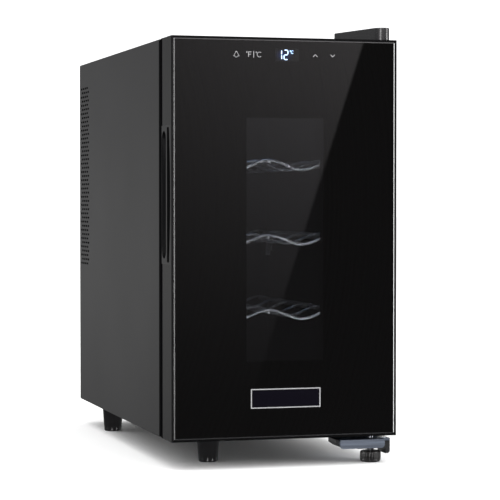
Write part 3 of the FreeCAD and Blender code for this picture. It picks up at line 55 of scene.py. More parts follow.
BLACK = (0.0, 0.0, 0.0, 1.0)
WHITE = (1.0, 1.0, 1.0, 1.0)
LEVELS = ("lower", "middle", "upper")

Point = Sequence[float]
Spot = tuple[float, float]
Colour = tuple[float, float, float]
Values = dict[str | int, object]


# ---------------------------------------------------------------- node groups

class SocketKind(Enum):
    """Kinds of socket that a shared effect can have."""

    VALUE = "NodeSocketFloat"
    VECTOR = "NodeSocketVector"
    COLOUR = "NodeSocketColor"


class Wiring:
    """A node tree under construction."""

    def __init__(self, tree: bpy.types.NodeTree) -> None:
        """Take the tree that the nodes go into."""
        self.tree = tree

    def add(self, kind: str, values: Optional[Values] = None, **settings: object) -> bpy.types.Node:
        """Add a node, then set its properties and its inputs.

        Args:
            kind: The node's type, as it stands after "ShaderNode".
            values: Default values of its inputs, by label or index.
            settings: Its own properties.

        Returns:
            The new node.
        """
        node = self.tree.nodes.new(f"ShaderNode{kind}")
        for key, value in settings.items():
            setattr(node, key, value)
        self.preset(node, values or {})
        return node

    def preset(self, node: bpy.types.Node, values: Values) -> None:
        """Set the default values of a node's inputs, by label or index."""
        for label, value in values.items():
            node.inputs[label].default_value = value

    def join(self, start: bpy.types.NodeSocket, end: bpy.types.NodeSocket) -> None:
        """Link two sockets."""
        self.tree.links.new(start, end)

    def maths(self, operation: str, first: bpy.types.NodeSocket, second: bpy.types.NodeSocket | float
              ) -> bpy.types.NodeSocket:
        """Combine a value with another value or with a number.

        Args:
            operation: What is done with the two.
            first: The first value.
            second: The second value, or a plain number.

        Returns:
            The result.
        """
        node = self.add("Math", operation=operation)
        self.join(first, node.inputs[0])
        if isinstance(second, bpy.types.NodeSocket):
            self.join(second, node.inputs[1])
        else:
            node.inputs[1].default_value = second
        return node.outputs[0]

    def mapped(self, value: bpy.types.NodeSocket, source: Spot, target: Spot = (0.0, 1.0)
               ) -> bpy.types.NodeSocket:
        """Map a value from one range to another.

        Args:
            value: The value.
            source: The range that it comes in.
            target: The range that it goes out in.

        Returns:
            The mapped value.
        """
        node = self.add("MapRange", {"From Min": source[0], "From Max": source[1],
                                     "To Min": target[0], "To Max": target[1]})
        self.join(value, node.inputs["Value"])
        return node.outputs["Result"]


class Effect(Wiring):
    """A shared shader effect: a node group with named inputs and outputs."""

    def __init__(self, name: str, inputs: dict[str, SocketKind], outputs: dict[str, SocketKind]) -> None:
        """Start the group.

        Args:
            name: What the effect is called.
            inputs: Name and kind of each input.
            outputs: Name and kind of each output.
        """
        super().__init__(bpy.data.node_groups.new(name, "ShaderNodeTree"))
        for way, sockets in (("INPUT", inputs), ("OUTPUT", outputs)):
            for label, kind in sockets.items():
                self.tree.interface.new_socket(name=label, in_out=way, socket_type=kind.value)
        self.source = self.tree.nodes.new("NodeGroupInput")
        self.result = self.tree.nodes.new("NodeGroupOutput")


def make_grain() -> bpy.types.NodeTree:
    """Build the fine grain of paint and moulded plastic.

    Returns:
        A group that turns a place and a grain size into a height and a slow tone.
    """
    effect = Effect("surface_grain", {"Place": SocketKind.VECTOR, "Fineness": SocketKind.VALUE,
                                      "Breadth": SocketKind.VALUE},
                    {"Height": SocketKind.VALUE, "Tone": SocketKind.VALUE})
    fine = effect.add("TexNoise", {"Detail": 3.0})
    cells = effect.add("TexVoronoi", feature="SMOOTH_F1")
    broad = effect.add("TexNoise", {"Detail": 2.0})
    mix = effect.add("Math", {1: 0.6}, operation="MULTIPLY_ADD")
    for node, scale in ((fine, "Fineness"), (cells, "Fineness"), (broad, "Breadth")):
        effect.join(effect.source.outputs["Place"], node.inputs["Vector"])
        effect.join(effect.source.outputs[scale], node.inputs["Scale"])
    effect.join(cells.outputs["Distance"], mix.inputs[0])
    effect.join(fine.outputs["Fac"], mix.inputs[2])
    effect.join(mix.outputs[0], effect.result.inputs["Height"])
    effect.join(broad.outputs["Fac"], effect.result.inputs["Tone"])
    return effect.tree


def make_dust() -> bpy.types.NodeTree:
    """Build the thin dust that settles on faces that look up.

    Returns:
        A group whose mask is strongest on level tops, broken up by a noise.
    """
    effect = Effect("settled_dust", {"Place": SocketKind.VECTOR}, {"Mask": SocketKind.VALUE})
    split = effect.add("SeparateXYZ")
    noise = effect.add("TexNoise", {"Scale": 35.0})
    effect.join(effect.add("NewGeometry").outputs["Normal"], split.inputs[0])
    effect.join(effect.source.outputs["Place"], noise.inputs["Vector"])
    up = effect.mapped(split.outputs["Z"], (0.6, 1.0))
    effect.join(effect.maths("MULTIPLY", noise.outputs["Fac"], up), effect.result.inputs["Mask"])
    return effect.tree


GRAIN = make_grain()
DUST = make_dust()


# ---------------------------------------------------------------- finishes

@dataclass(frozen=True)
class Finish:
    """A surface finish with grain, slow tone changes and a little dust.

    Attributes:
        name: What the material is called.
        colour: Its main colour, linear.
        roughness: Its mean roughness.
        metallic: How metallic it is.
        grain: Height of its grain in metres.
        grain_size: Size of one grain in metres.
        mottle: How far the colour swings either way, as a share.
        mottle_size: Size of a patch of tone in metres.
        spread: How far the roughness swings either way.
        coat: Weight of a clear top coat.
        stretch: How a brushed grain is drawn out along each axis.
        dust: How strongly dust shows on level tops.
        specular: The specular level of the shader.
    """

    name: str
    colour: Colour
    roughness: float
    metallic: float = 0.0
    grain: float = 0.00004
    grain_size: float = 0.0012
    mottle: float = 0.08
    mottle_size: float = 0.09
    spread: float = 0.04
    coat: float = 0.0
    stretch: Point = (1.0, 1.0, 1.0)
    dust: float = 0.04
    specular: float = 0.5

    def material(self) -> bpy.types.Material:
        """Build the material, or return it if it is already made."""
        label = f"{self.name}_finish"
        found = bpy.data.materials.get(label)
        if found:
            return found
        made = bpy.data.materials.new(label)
        made.use_nodes = True
        self.fill(made.node_tree)
        return made

    def fill(self, tree: bpy.types.NodeTree) -> None:
        """Add the finish's nodes to a material's tree.

        Args:
            tree: The new material's node tree.
        """
        kit = Wiring(tree)
        shader = tree.nodes["Principled BSDF"]
        kit.preset(shader, {"Metallic": self.metallic, "Coat Weight": self.coat,
                            "Coat Roughness": COAT_ROUGHNESS, "Specular IOR Level": self.specular})
        place = kit.add("TexCoord").outputs["Object"]
        drawn = kit.add("Mapping", {"Scale": self.stretch})
        kit.join(place, drawn.inputs["Vector"])
        grain = self.graining(kit, drawn.outputs["Vector"])
        dust = kit.add("Group", node_tree=DUST)
        kit.join(place, dust.inputs["Place"])
        top = kit.add("Mix", {"B": DUST_COLOUR}, data_type="RGBA")
        kit.join(kit.maths("MULTIPLY", dust.outputs["Mask"], self.dust), top.inputs["Factor"])
        kit.join(self.tone(kit, grain, 1.0 + self.mottle), top.inputs["A"])
        kit.join(top.outputs["Result"], shader.inputs["Base Color"])
        gloss = (max(0.0, self.roughness - self.spread), min(1.0, self.roughness + self.spread))
        kit.join(kit.mapped(grain.outputs["Tone"], (0.0, 1.0), gloss), shader.inputs["Roughness"])
        if self.grain > 0:
            bump = kit.add("Bump", {"Distance": self.grain})
            kit.join(grain.outputs["Height"], bump.inputs["Height"])
            kit.join(bump.outputs["Normal"], shader.inputs["Normal"])

    def graining(self, kit: Wiring, place: bpy.types.NodeSocket) -> bpy.types.Node:
        """Add the shared grain at this finish's own sizes.

        Args:
            kit: The material's tree.
            place: Where on the piece a point lies.

        Returns:
            The grain's node.
        """
        grain = kit.add("Group", node_tree=GRAIN)
        kit.preset(grain, {"Fineness": 1.0 / self.grain_size, "Breadth": 1.0 / self.mottle_size})
        kit.join(place, grain.inputs["Place"])
        return grain

    def tone(self, kit: Wiring, grain: bpy.types.Node, brightest: float) -> bpy.types.NodeSocket:
        """Let the colour swing with the grain's slow tone.

        Args:
            kit: The material's tree.
            grain: The grain's node.
            brightest: The brightest share of the colour.

        Returns:
            The colour.
        """
        ends = {"A": shade(self.colour, 1.0 - self.mottle), "B": shade(self.colour, brightest)}
        tone = kit.add("Mix", ends, data_type="RGBA")
        kit.join(grain.outputs["Tone"], tone.inputs["Factor"])
        return tone.outputs["Result"]


def shade(colour: Colour, share: float) -> tuple[float, float, float, float]:
    """Return a colour made darker or lighter, with full opacity."""
    return (colour[0] * share, colour[1] * share, colour[2] * share, 1.0)


@dataclass(frozen=True)
class Pane(Finish):
    """Clear or tinted glass with a trace of smear in its gloss."""

    def fill(self, tree: bpy.types.NodeTree) -> None:
        """Add clear glass nodes to a material's tree.

        Args:
            tree: The new material's node tree.
        """
        kit = Wiring(tree)
        shader = tree.nodes["Principled BSDF"]
        kit.preset(shader, {"Transmission Weight": 1.0, "IOR": 1.5})
        grain = self.graining(kit, kit.add("TexCoord").outputs["Object"])
        kit.join(self.tone(kit, grain, 1.0), shader.inputs["Base Color"])
        gloss = (self.roughness, self.roughness + self.spread)
        kit.join(kit.mapped(grain.outputs["Tone"], (0.0, 1.0), gloss), shader.inputs["Roughness"])


@dataclass(frozen=True)
class Glow(Finish):
    """A lit surface whose brightness varies slightly across it.

    Attributes:
        strength: How brightly it is lit.
    """

    strength: float = 2.0

    def fill(self, tree: bpy.types.NodeTree) -> None:
        """Add lit nodes to a material's tree.

        Args:
            tree: The new material's node tree.
        """
        super().fill(tree)
        shader = tree.nodes["Principled BSDF"]
        shader.inputs["Emission Strength"].default_value = self.strength
        colour = shader.inputs["Base Color"].links[0].from_socket
        tree.links.new(colour, shader.inputs["Emission Color"])


@dataclass(frozen=True)
class ShadeBandPaint(Finish):
    """A paint that loses its specular reflection, and so turns to matt black, on a band behind a given depth:
    painted shade along the rear of the door's sides, by the gap to the case.

    Attributes:
        edge: Depth at which the band of painted shade starts, in metres.
    """

    edge: float = -0.2085

    def fill(self, tree: bpy.types.NodeTree) -> None:
        """Add the paint's nodes and its band of painted shade to a material's tree.

        Args:
            tree: The new material's node tree.
        """
        super().fill(tree)
        kit = Wiring(tree)
        split = kit.add("SeparateXYZ")
        kit.join(kit.add("TexCoord").outputs["Object"], split.inputs[0])
        # Behind the edge the specular level falls to nothing: painted shade along the door's rear edge.
        before = kit.maths("LESS_THAN", split.outputs["Y"], self.edge)
        shader = tree.nodes["Principled BSDF"]
        kit.join(kit.maths("MULTIPLY", before, self.specular), shader.inputs["Specular IOR Level"])


@dataclass(frozen=True)
class Halo(Finish):
    """A dark face with a soft blue light behind its middle.

    Attributes:
        centre: Middle of the light, in metres.
        reach: Radius of the light along each axis, in metres.
        light: Colour of the light.
    """

    centre: Point = (-0.001, -0.245, 0.4425)
    reach: Point = (0.0125, 0.05, 0.0075)
    light: Colour = (0.02, 0.08, 0.45)

    def fill(self, tree: bpy.types.NodeTree) -> None:
        """Add the face's nodes and its light to a material's tree.

        Args:
            tree: The new material's node tree.
        """
        super().fill(tree)
        kit = Wiring(tree)
        shader = tree.nodes["Principled BSDF"]
        kit.preset(shader, {"Emission Strength": 1.0})
        centred = kit.add("Mapping", {
            "Scale": [1.0 / reach for reach in self.reach],
            "Location": [-at / reach for at, reach in zip(self.centre, self.reach)]})
        round_light = kit.add("TexGradient", gradient_type="QUADRATIC_SPHERE")
        tint = kit.add("Mix", {"A": BLACK, "B": (*self.light, 1.0)}, data_type="RGBA")
        kit.join(kit.add("TexCoord").outputs["Object"], centred.inputs["Vector"])
        kit.join(centred.outputs["Vector"], round_light.inputs["Vector"])
        kit.join(round_light.outputs["Fac"], tint.inputs["Factor"])
        kit.join(tint.outputs["Result"], shader.inputs["Emission Color"])


CASE_PAINT = Finish("case_powder_coat", (0.008, 0.008, 0.0085), 0.33, grain=0.00002, grain_size=0.0009,
                    mottle=0.10, mottle_size=0.22, dust=0.05)
# Door frame paint; behind its edge depth it carries a band of painted shade.
DOOR_PAINT_AND_SHADE = ShadeBandPaint("door_powder_coat_and_shade", (0.002, 0.002, 0.0023), 0.26, specular=0.16, grain=0.00001,
                        grain_size=0.0009, mottle=0.08, mottle_size=0.12)
UNDER_PAINT = Finish("underside_paint", (0.014, 0.014, 0.015), 0.5, grain_size=0.0015)
COLLAR_PLASTIC = Finish("collar_plastic", (0.003, 0.003, 0.0034), 0.65, grain_size=0.0008, specular=0.02)
LINER_PLASTIC = Finish("liner_plastic", (0.004, 0.004, 0.0045), 0.6, specular=0.06, grain_size=0.0012,
                       mottle_size=0.06)
FOAM = Finish("cast_foam", (0.82, 0.72, 0.42), 0.95, grain=0.0004, grain_size=0.002, mottle=0.15)
ZINC = Finish("brushed_zinc", (0.60, 0.70, 0.86), 0.34, metallic=1.0, grain=0.00002, grain_size=0.0006,
              stretch=(0.05, 1.0, 1.0), mottle=0.5, mottle_size=0.004, spread=0.15, dust=0.0)
STEEL = Finish("turned_steel", (0.5, 0.5, 0.52), 0.25, metallic=1.0, grain=0.00001, grain_size=0.0005)
SCREW = Finish("screw_steel", (0.42, 0.42, 0.44), 0.3, metallic=1.0, grain_size=0.0005)
NYLON = Finish("nylon", (0.7, 0.69, 0.65), 0.45, grain_size=0.0006)
HINGE_PLASTIC = Finish("hinge_plastic", (0.014, 0.014, 0.0155), 0.27, specular=1.0, grain=0.00001,
                       grain_size=0.0008, dust=0.02)
FOOT_PLASTIC = Finish("foot_plastic", (0.005, 0.005, 0.006), 0.15, specular=0.9, grain_size=0.0008)
KNOB_PLASTIC = Finish("knob_plastic", (0.012, 0.011, 0.011), 0.24, specular=1.0, grain_size=0.0006)
CHROME = Finish("shelf_chrome", (0.76, 0.76, 0.76), 0.28, metallic=0.6, grain=0.000008, mottle=0.05)
ALUMINIUM = Finish("extruded_aluminium", (0.6, 0.61, 0.62), 0.38, metallic=1.0, stretch=(1.0, 1.0, 0.06),
                   grain=0.00003, grain_size=0.0005, mottle_size=0.004)
CERAMIC = Finish("module_ceramic", (0.8, 0.8, 0.78), 0.6)
FAN_PLASTIC = Finish("fan_plastic", (0.022, 0.022, 0.023), 0.42, grain_size=0.0008)
ROTOR_PLASTIC = Finish("rotor_plastic", (0.03, 0.03, 0.033), 0.35, grain_size=0.0008)
BOARD = Finish("circuit_board", (0.02, 0.13, 0.05), 0.35, mottle=0.3, mottle_size=0.006, coat=0.4)
COMPONENT = Finish("component_resin", (0.03, 0.03, 0.05), 0.35, mottle=0.3, mottle_size=0.02)
LAMP_BOARD = Finish("lamp_board", (0.8, 0.82, 0.84), 0.4)
SENSOR = Finish("sensor_resin", (0.6, 0.6, 0.57), 0.4)
MASK = Finish("black_glass_print", (0.004, 0.004, 0.0045), 0.35, grain=0.0, mottle=0.2, dust=0.0)
SPACER = Finish("black_spacer", (0.012, 0.013, 0.018), 0.35, metallic=0.6)
RUBBER = Finish("seal_rubber", (0.009, 0.009, 0.0095), 0.62, grain_size=0.0006)
MAGNET = Finish("magnet_strip", (0.03, 0.026, 0.024), 0.7)
GRIP_PLASTIC = Finish("grip_plastic", (0.006, 0.006, 0.0065), 0.33, grain=0.00001, grain_size=0.0008)
# Darker, duller copy of the grip plastic for the faces down in the pocket and groove: painted shade in the
# hollows.
GRIP_POCKET_SHADE = Finish("grip_pocket_painted_shade", (0.003, 0.003, 0.0035), 0.5, grain=0.00001, grain_size=0.0008, dust=0.0,
                     specular=0.12)
DISPLAY = Halo("display_face", (0.0005, 0.0005, 0.0006), 0.6, grain=0.0, dust=0.0, specular=0.0)
GLYPH = Glow("lit_digits", (0.55, 0.74, 1.0), 0.4, strength=1.0, grain=0.0, mottle=0.03, dust=0.0)
# Printed icons that also glow faintly: painted light lifting the print.
PRINTED_ICON_GLOW = Glow("printed_icons_painted_glow", (0.38, 0.38, 0.39), 0.4, strength=0.4, grain=0.0, mottle=0.05, dust=0.0)
GROUND_EDGE = Finish("ground_glass_edge", (0.02, 0.02, 0.021), 0.12, grain=0.000002, grain_size=0.0004,
                     coat=1.0, dust=0.0, specular=1.0)
BADGE_FACE = Finish("badge_face", (0.0025, 0.002, 0.005), 0.3, grain=0.0, mottle=0.0, dust=0.0, specular=0.1)
BADGE_RIM = Finish("badge_rim", (0.32, 0.32, 0.33), 0.4, metallic=0.1, stretch=(0.05, 1.0, 1.0),
                   grain=0.000008, grain_size=0.0004, dust=0.0)
BRASS = Finish("pin_brass", (0.6, 0.5, 0.28), 0.25, metallic=1.0)
DOOR_GLASS = Pane("tinted_glass", (0.26, 0.27, 0.29), 0.0, spread=0.006, mottle=0.02)
INNER_GLASS = Pane("inner_glass", (0.86, 0.88, 0.9), 0.0, spread=0.01, mottle=0.02)
LAMP = Glow("lamp_lens", (0.5, 0.7, 1.0), 0.35, strength=3.0, mottle=0.1, mottle_size=0.01)

CARRIED: dict[str, Finish] = {
    "outer_case": CASE_PAINT, "base_pan": UNDER_PAINT, "back_panel": UNDER_PAINT,
    "front_frame": COLLAR_PLASTIC, "inner_liner": LINER_PLASTIC, "foam_insulation": FOAM,
    "bulkhead": ZINC, "back_panel_screws": SCREW,
    "front_left_foot": FOOT_PLASTIC, "rear_left_foot": FOOT_PLASTIC, "rear_right_foot": FOOT_PLASTIC,
    "foot_screws": SCREW, "levelling_knob": KNOB_PLASTIC, "levelling_stud": STEEL, "levelling_nut": ZINC,
    "lower_hinge_bracket": ZINC, "lower_hinge_pin": STEEL, "lower_hinge_washer": NYLON,
    "lower_hinge_shroud": HINGE_PLASTIC, "upper_hinge_bracket": ZINC, "upper_hinge_pin": STEEL,
    "hinge_screws": SCREW, "hinge_cover": HINGE_PLASTIC, "lower_shelf": CHROME, "middle_shelf": CHROME,
    "upper_shelf": CHROME, "cold_block": ALUMINIUM, "thermoelectric_module": CERAMIC,
    "cold_heatsink": ALUMINIUM, "hot_heatsink": ALUMINIUM, "cold_fan_frame": FAN_PLASTIC,
    "hot_fan_frame": FAN_PLASTIC, "cold_fan_rotor": ROTOR_PLASTIC, "hot_fan_rotor": ROTOR_PLASTIC,
    "fan_cover": LINER_PLASTIC, "power_board": BOARD, "board_standoffs": NYLON,
    "power_components": COMPONENT, "mains_inlet": KNOB_PLASTIC, "inlet_pins": BRASS, "led_board": LAMP_BOARD,
    "led_lens": LAMP, "temperature_sensor": SENSOR, "door_frame": DOOR_PAINT_AND_SHADE, "door_glass": DOOR_GLASS,
    "glass_mask": MASK, "glazing_spacer": SPACER, "inner_glass": INNER_GLASS,
    "door_back_panel": LINER_PLASTIC, "door_gasket": RUBBER, "gasket_magnet": MAGNET, "door_foam": FOAM,
    "control_board": BOARD, "display_module": DISPLAY, "badge_border": BADGE_RIM, "badge_plate": BADGE_FACE,
    "handle_insert": GRIP_PLASTIC, "lower_door_bush": NYLON, "upper_door_bush": NYLON,
}


def dress_frame() -> None:
    """Give every carried node its own finish."""
    for name, finish in CARRIED.items():
        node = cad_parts[name]
        node.data.materials.clear()
        node.data.materials.append(finish.material())


# ---------------------------------------------------------------- forms

def along(axis: int, length: float) -> Vector:
    """Return a step of some length along an axis."""
    step = Vector((0.0, 0.0, 0.0))
    step[axis] = length
    return step


def set_on(axis: int, spot: Spot, place: float) -> list[float]:
    """Return a point from its two places across an axis and its place along it."""
    point = list(spot)
    point.insert(axis, place)
    return point


class Form:
    """A mesh under construction in millimetres, made with mesh operators."""

    def __init__(self) -> None:
        """Start an empty mesh."""
        self.bm = bmesh.new()

    def block(self, low: Point, high: Point, bevel: float = 0.0, segments: int = 3) -> "Form":
        """Add a block between two corners.

        Args:
            low: Lowest corner.
            high: Highest corner.
            bevel: Radius of its edges.
            segments: Steps across each rounded edge.

        Returns:
            This form.
        """
        size = Vector(high) - Vector(low)
        middle = (Vector(high) + Vector(low)) / 2
        matrix = Matrix.Translation(middle) @ Matrix.Diagonal((*size, 1.0))
        made = bmesh.ops.create_cube(self.bm, size=1.0, matrix=matrix)
        if bevel > 0:
            edges = list({edge for vert in made["verts"] for edge in vert.link_edges})
            self.bevel(edges, bevel, segments)
        return self

    def bevel(self, edges: Iterable[bmesh.types.BMEdge], radius: float, segments: int = 3) -> "Form":
        """Round some edges."""
        bmesh.ops.bevel(self.bm, geom=list(edges), offset=radius, offset_type="OFFSET", segments=segments,
                        profile=0.5, affect="EDGES", clamp_overlap=True, material=-1)
        return self

    def prism(self, outline: Sequence[Spot], axis: int, low: float, high: float) -> "Form":
        """Add an outline drawn square to an axis and pulled along it.

        Args:
            outline: Corners in the plane of the two other axes, in X, Y, Z order.
            axis: Index of the axis it is pulled along.
            low: Where it starts.
            high: Where it ends.

        Returns:
            This form.
        """
        corners = [self.bm.verts.new(set_on(axis, spot, low)) for spot in outline]
        return self.pull([self.bm.faces.new(corners)], along(axis, high - low))

    def pull(self, faces: list[bmesh.types.BMFace], step: Vector) -> "Form":
        """Extrude some faces by a step."""
        pulled = bmesh.ops.extrude_face_region(self.bm, geom=faces)
        moved = [item for item in pulled["geom"] if isinstance(item, bmesh.types.BMVert)]
        bmesh.ops.translate(self.bm, verts=moved, vec=step)
        return self

    def loop(self, points: Iterable[Point]) -> list[bmesh.types.BMEdge]:
        """Draw a closed loop through some points and return its edges."""
        verts = [self.bm.verts.new(point) for point in points]
        return [self.bm.edges.new((vert, verts[(i + 1) % len(verts)])) for i, vert in enumerate(verts)]

    def absorb(self, other: "Form") -> "Form":
        """Take in another form's mesh and free that form."""
        mesh = bpy.data.meshes.new("absorbed")
        other.bm.to_mesh(mesh)
        other.bm.free()
        self.bm.from_mesh(mesh)
        bpy.data.meshes.remove(mesh)
        return self

    def ring(self, outer: tuple[Point, Point], inner: tuple[Point, Point], axis: int, low: float,
             high: float) -> "Form":
        """Add a rectangular ring round an axis.

        Args:
            outer: Two opposite corners of its outside, in the plane across the axis.
            inner: Two opposite corners of its opening.
            axis: Index of the axis it goes round.
            low: Where it starts along the axis.
            high: Where it ends.

        Returns:
            This form.
        """
        loops = []
        for (x0, y0), (x1, y1) in (outer, inner):
            loops += self.loop(set_on(axis, spot, low) for spot in ((x0, y0), (x1, y0), (x1, y1), (x0, y1)))
        faces = bmesh.ops.bridge_loops(self.bm, edges=loops)["faces"]
        return self.pull(faces, along(axis, high - low))

    def lathe(self, outline: Sequence[Spot], centre: Point, steps: int = 48) -> "Form":
        """Add a turned solid about an upright axis.

        Args:
            outline: Radius and height of each point, from one end of the axis to the other.
            centre: Where the axis stands.
            steps: Steps round the turn.

        Returns:
            This form.
        """
        base = Vector(centre)
        points = [self.bm.verts.new(base + Vector((radius, 0.0, height))) for radius, height in outline]
        line = [self.bm.edges.new(pair) for pair in zip(points, points[1:])]
        bmesh.ops.spin(self.bm, geom=points + line, cent=base, axis=(0.0, 0.0, 1.0), angle=math.tau,
                       steps=steps, use_merge=True)
        bmesh.ops.remove_doubles(self.bm, verts=self.bm.verts, dist=FLUSH)
        return self

    def stroke(self, points: Sequence[Spot], width: float, near: float, far: float) -> "Form":
        """Add a run of straight strokes drawn in the X-Z plane.

        Args:
            points: Ends of the strokes, across and up.
            width: Width of the strokes.
            near: Where they start along Y.
            far: Where they end.

        Returns:
            This form.
        """
        overrun = 0.4
        for (x0, z0), (x1, z1) in zip(points, points[1:]):
            length = math.hypot(x1 - x0, z1 - z0)
            run, rise = (x1 - x0) / length * width / 2, (z1 - z0) / length * width / 2
            x0, z0 = x0 - run * overrun, z0 - rise * overrun
            x1, z1 = x1 + run * overrun, z1 + rise * overrun
            outline = [(x0 - rise, z0 + run), (x0 + rise, z0 - run),
                       (x1 + rise, z1 - run), (x1 - rise, z1 + run)]
            self.prism(outline, 1, near, far)
        return self

    def move(self, change: Callable[[Vector], Vector]) -> "Form":
        """Move every vertex by a rule that gives its new place."""
        for vert in self.bm.verts:
            vert.co = change(vert.co.copy())
        return self

    def edges_along(self, axis: int, chosen: Callable[[Vector], bool] = lambda middle: True
                    ) -> list[bmesh.types.BMEdge]:
        """List straight edges that run along an axis and whose middle passes a test."""
        found = []
        for edge in self.bm.edges:
            run = edge.verts[1].co - edge.verts[0].co
            middle = (edge.verts[1].co + edge.verts[0].co) / 2
            if run.length > 1e-4 and abs(run[axis]) > 0.999 * run.length and chosen(middle):
                found.append(edge)
        return found

    def edges_at(self, axis: int, place: float) -> list[bmesh.types.BMEdge]:
        """List the edges that lie in a plane square to an axis."""
        return [edge for edge in self.bm.edges
                if all(abs(vert.co[axis] - place) < FLUSH for vert in edge.verts)]

    def piece(self, name: str, finish: Finish, body: str, replaces: Sequence[str] = (),
              slot: Optional[str] = None, weighted: bool = True, angle: float = 40.0,
              turned_out: bool = True) -> bpy.types.Object:
        """Finish the mesh as a piece of the object.

        Args:
            name: Name of the piece.
            finish: Its finish.
            body: The body that it rides on.
            replaces: Frame nodes that it stands for.
            slot: Not used.
            weighted: Whether large faces keep flat shading beside rounded edges.
            angle: Edges sharper than this, in degrees, stay sharp.
            turned_out: Whether the faces are turned outwards here.

        Returns:
            The finished object.
        """
        if turned_out:
            bmesh.ops.recalc_face_normals(self.bm, faces=self.bm.faces)
        bmesh.ops.scale(self.bm, vec=(MM, MM, MM), verts=self.bm.verts)
        mesh = bpy.data.meshes.new(name)
        self.bm.to_mesh(mesh)
        self.bm.free()
        mesh.shade_smooth()
        mesh.set_sharp_from_angle(angle=math.radians(angle))
        mesh.materials.append(finish.material())
        item = bpy.data.objects.new(name, mesh)
        bpy.context.scene.collection.objects.link(item)
        if weighted:
            modifier = item.modifiers.new("even_faces", "WEIGHTED_NORMAL")
            modifier.keep_sharp = True
        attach(item, body)
        if replaces:
            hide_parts(*replaces)
        LOG.info("%s: %d faces, rides on %s", name, len(mesh.polygons), body)
        return item


def box_of(node: str) -> tuple[Vector, Vector]:
    """Return the lowest and highest corners of a frame node, in millimetres."""
    low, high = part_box(node)
    return Vector(low) / MM, Vector(high) / MM


@dataclass(frozen=True)
class Round:
    """Place and size of an upright round node, in millimetres.

    Attributes:
        x: Where its axis stands across.
        y: Where its axis stands from front to rear.
        foot: Height of its lower end.
        radius: Its radius.
        tall: Its height from end to end.
    """

    x: float
    y: float
    foot: float
    radius: float
    tall: float

    @property
    def base(self) -> Point:
        """Give the middle of its lower end."""
        return (self.x, self.y, self.foot)

    def reach(self, place: Point) -> float:
        """Give the distance of a point from its axis."""
        return math.hypot(place[0] - self.x, place[1] - self.y)

    def drawn_in(self, place: Vector, deep: Callable[[float], float]) -> Vector:
        """Draw a point in towards the axis.

        Args:
            place: The point.
            deep: Gives how far it moves, from its angle round the axis.

        Returns:
            The point's new place.
        """
        reach = self.reach(place)
        share = (reach - deep(math.atan2(place.y - self.y, place.x - self.x))) / reach
        return Vector((self.x + (place.x - self.x) * share, self.y + (place.y - self.y) * share, place.z))


def round_of(node: str) -> Round:
    """Return the place and size of an upright round frame node."""
    low, high = box_of(node)
    return Round((low.x + high.x) / 2, (low.y + high.y) / 2, low.z, (high.x - low.x) / 2, high.z - low.z)


# ---------------------------------------------------------------- door

@dataclass
class GlassEdge:
    """Ground bevel round the front pane.

    Attributes:
        width: Width of the bevel.
        depth: How far the bevel falls back at the pane's edge.
        proud: How far it stands before the pane's own bevel.
        skin: How far its hidden side is set in from its shown one.
        back: How far its hidden side lies behind the shown one, at the bevel's foot and rim.
    """

    width: float = 1.5
    depth: float = 0.6
    proud: float = 0.45
    skin: float = 0.02
    back: Spot = (0.1, 0.4)

    def build(self) -> None:
        """Make the bevel as a thin sloping ring."""
        low, high = box_of("door_glass")
        form = Form()
        loops = []
        for inset, back in ((0.0, self.depth), (self.width, 0.0), (self.width + self.skin, self.back[0]),
                            (self.skin, self.depth + self.back[1])):
            y = low.y + back - self.proud
            loops.append(form.loop(((low.x + inset, y, low.z + inset), (high.x - inset, y, low.z + inset),
                                    (high.x - inset, y, high.z - inset), (low.x + inset, y, high.z - inset))))
        for index, edges in enumerate(loops):
            bmesh.ops.bridge_loops(form.bm, edges=edges + loops[(index + 1) % len(loops)])
        form.piece("glass_edge", GROUND_EDGE, "door", slot="pane", weighted=False, angle=20.0)


@dataclass
class Badge:
    """Blank badge: a bright rim round a black plate.

    Attributes:
        rim: Width of the rim.
        round: Radius of the rim's edges.
    """

    rim: float = 1.15
    round: float = 0.25

    def build(self) -> None:
        """Make the rim and the plate."""
        low, high = box_of("badge_border")
        form = Form()
        opening = ((low.x + self.rim, low.z + self.rim), (high.x - self.rim, high.z - self.rim))
        form.ring(((low.x, low.z), (high.x, high.z)), opening, 1, low.y, high.y)
        form.bevel(form.edges_at(1, low.y), self.round, 2)
        form.move(lambda place: Vector((place.x, max(place.y, low.y), place.z)))
        form.piece("badge_rim", BADGE_RIM, "door", ["badge_border"], "badge_rim")
        low, high = box_of("badge_plate")
        plate = Form().block(low, high)
        plate.bevel(plate.edges_at(1, low.y), self.round / 2, 2)
        plate.piece("badge_face", BADGE_FACE, "door", ["badge_plate"], "badge_face")


class Segment(Enum):
    """Bars of a seven-bar digit, as their two ends in half-widths and half-heights."""

    TOP = ((-1.0, 1.0), (1.0, 1.0))
    UPPER_RIGHT = ((1.0, 1.0), (1.0, 0.0))
    LOWER_RIGHT = ((1.0, 0.0), (1.0, -1.0))
    BOTTOM = ((1.0, -1.0), (-1.0, -1.0))
    LOWER_LEFT = ((-1.0, -1.0), (-1.0, 0.0))
    UPPER_LEFT = ((-1.0, 0.0), (-1.0, 1.0))
    MIDDLE = ((-1.0, 0.0), (1.0, 0.0))


ONE = (Segment.UPPER_RIGHT, Segment.LOWER_RIGHT)
TWO = (Segment.TOP, Segment.UPPER_RIGHT, Segment.MIDDLE, Segment.LOWER_LEFT, Segment.BOTTOM)


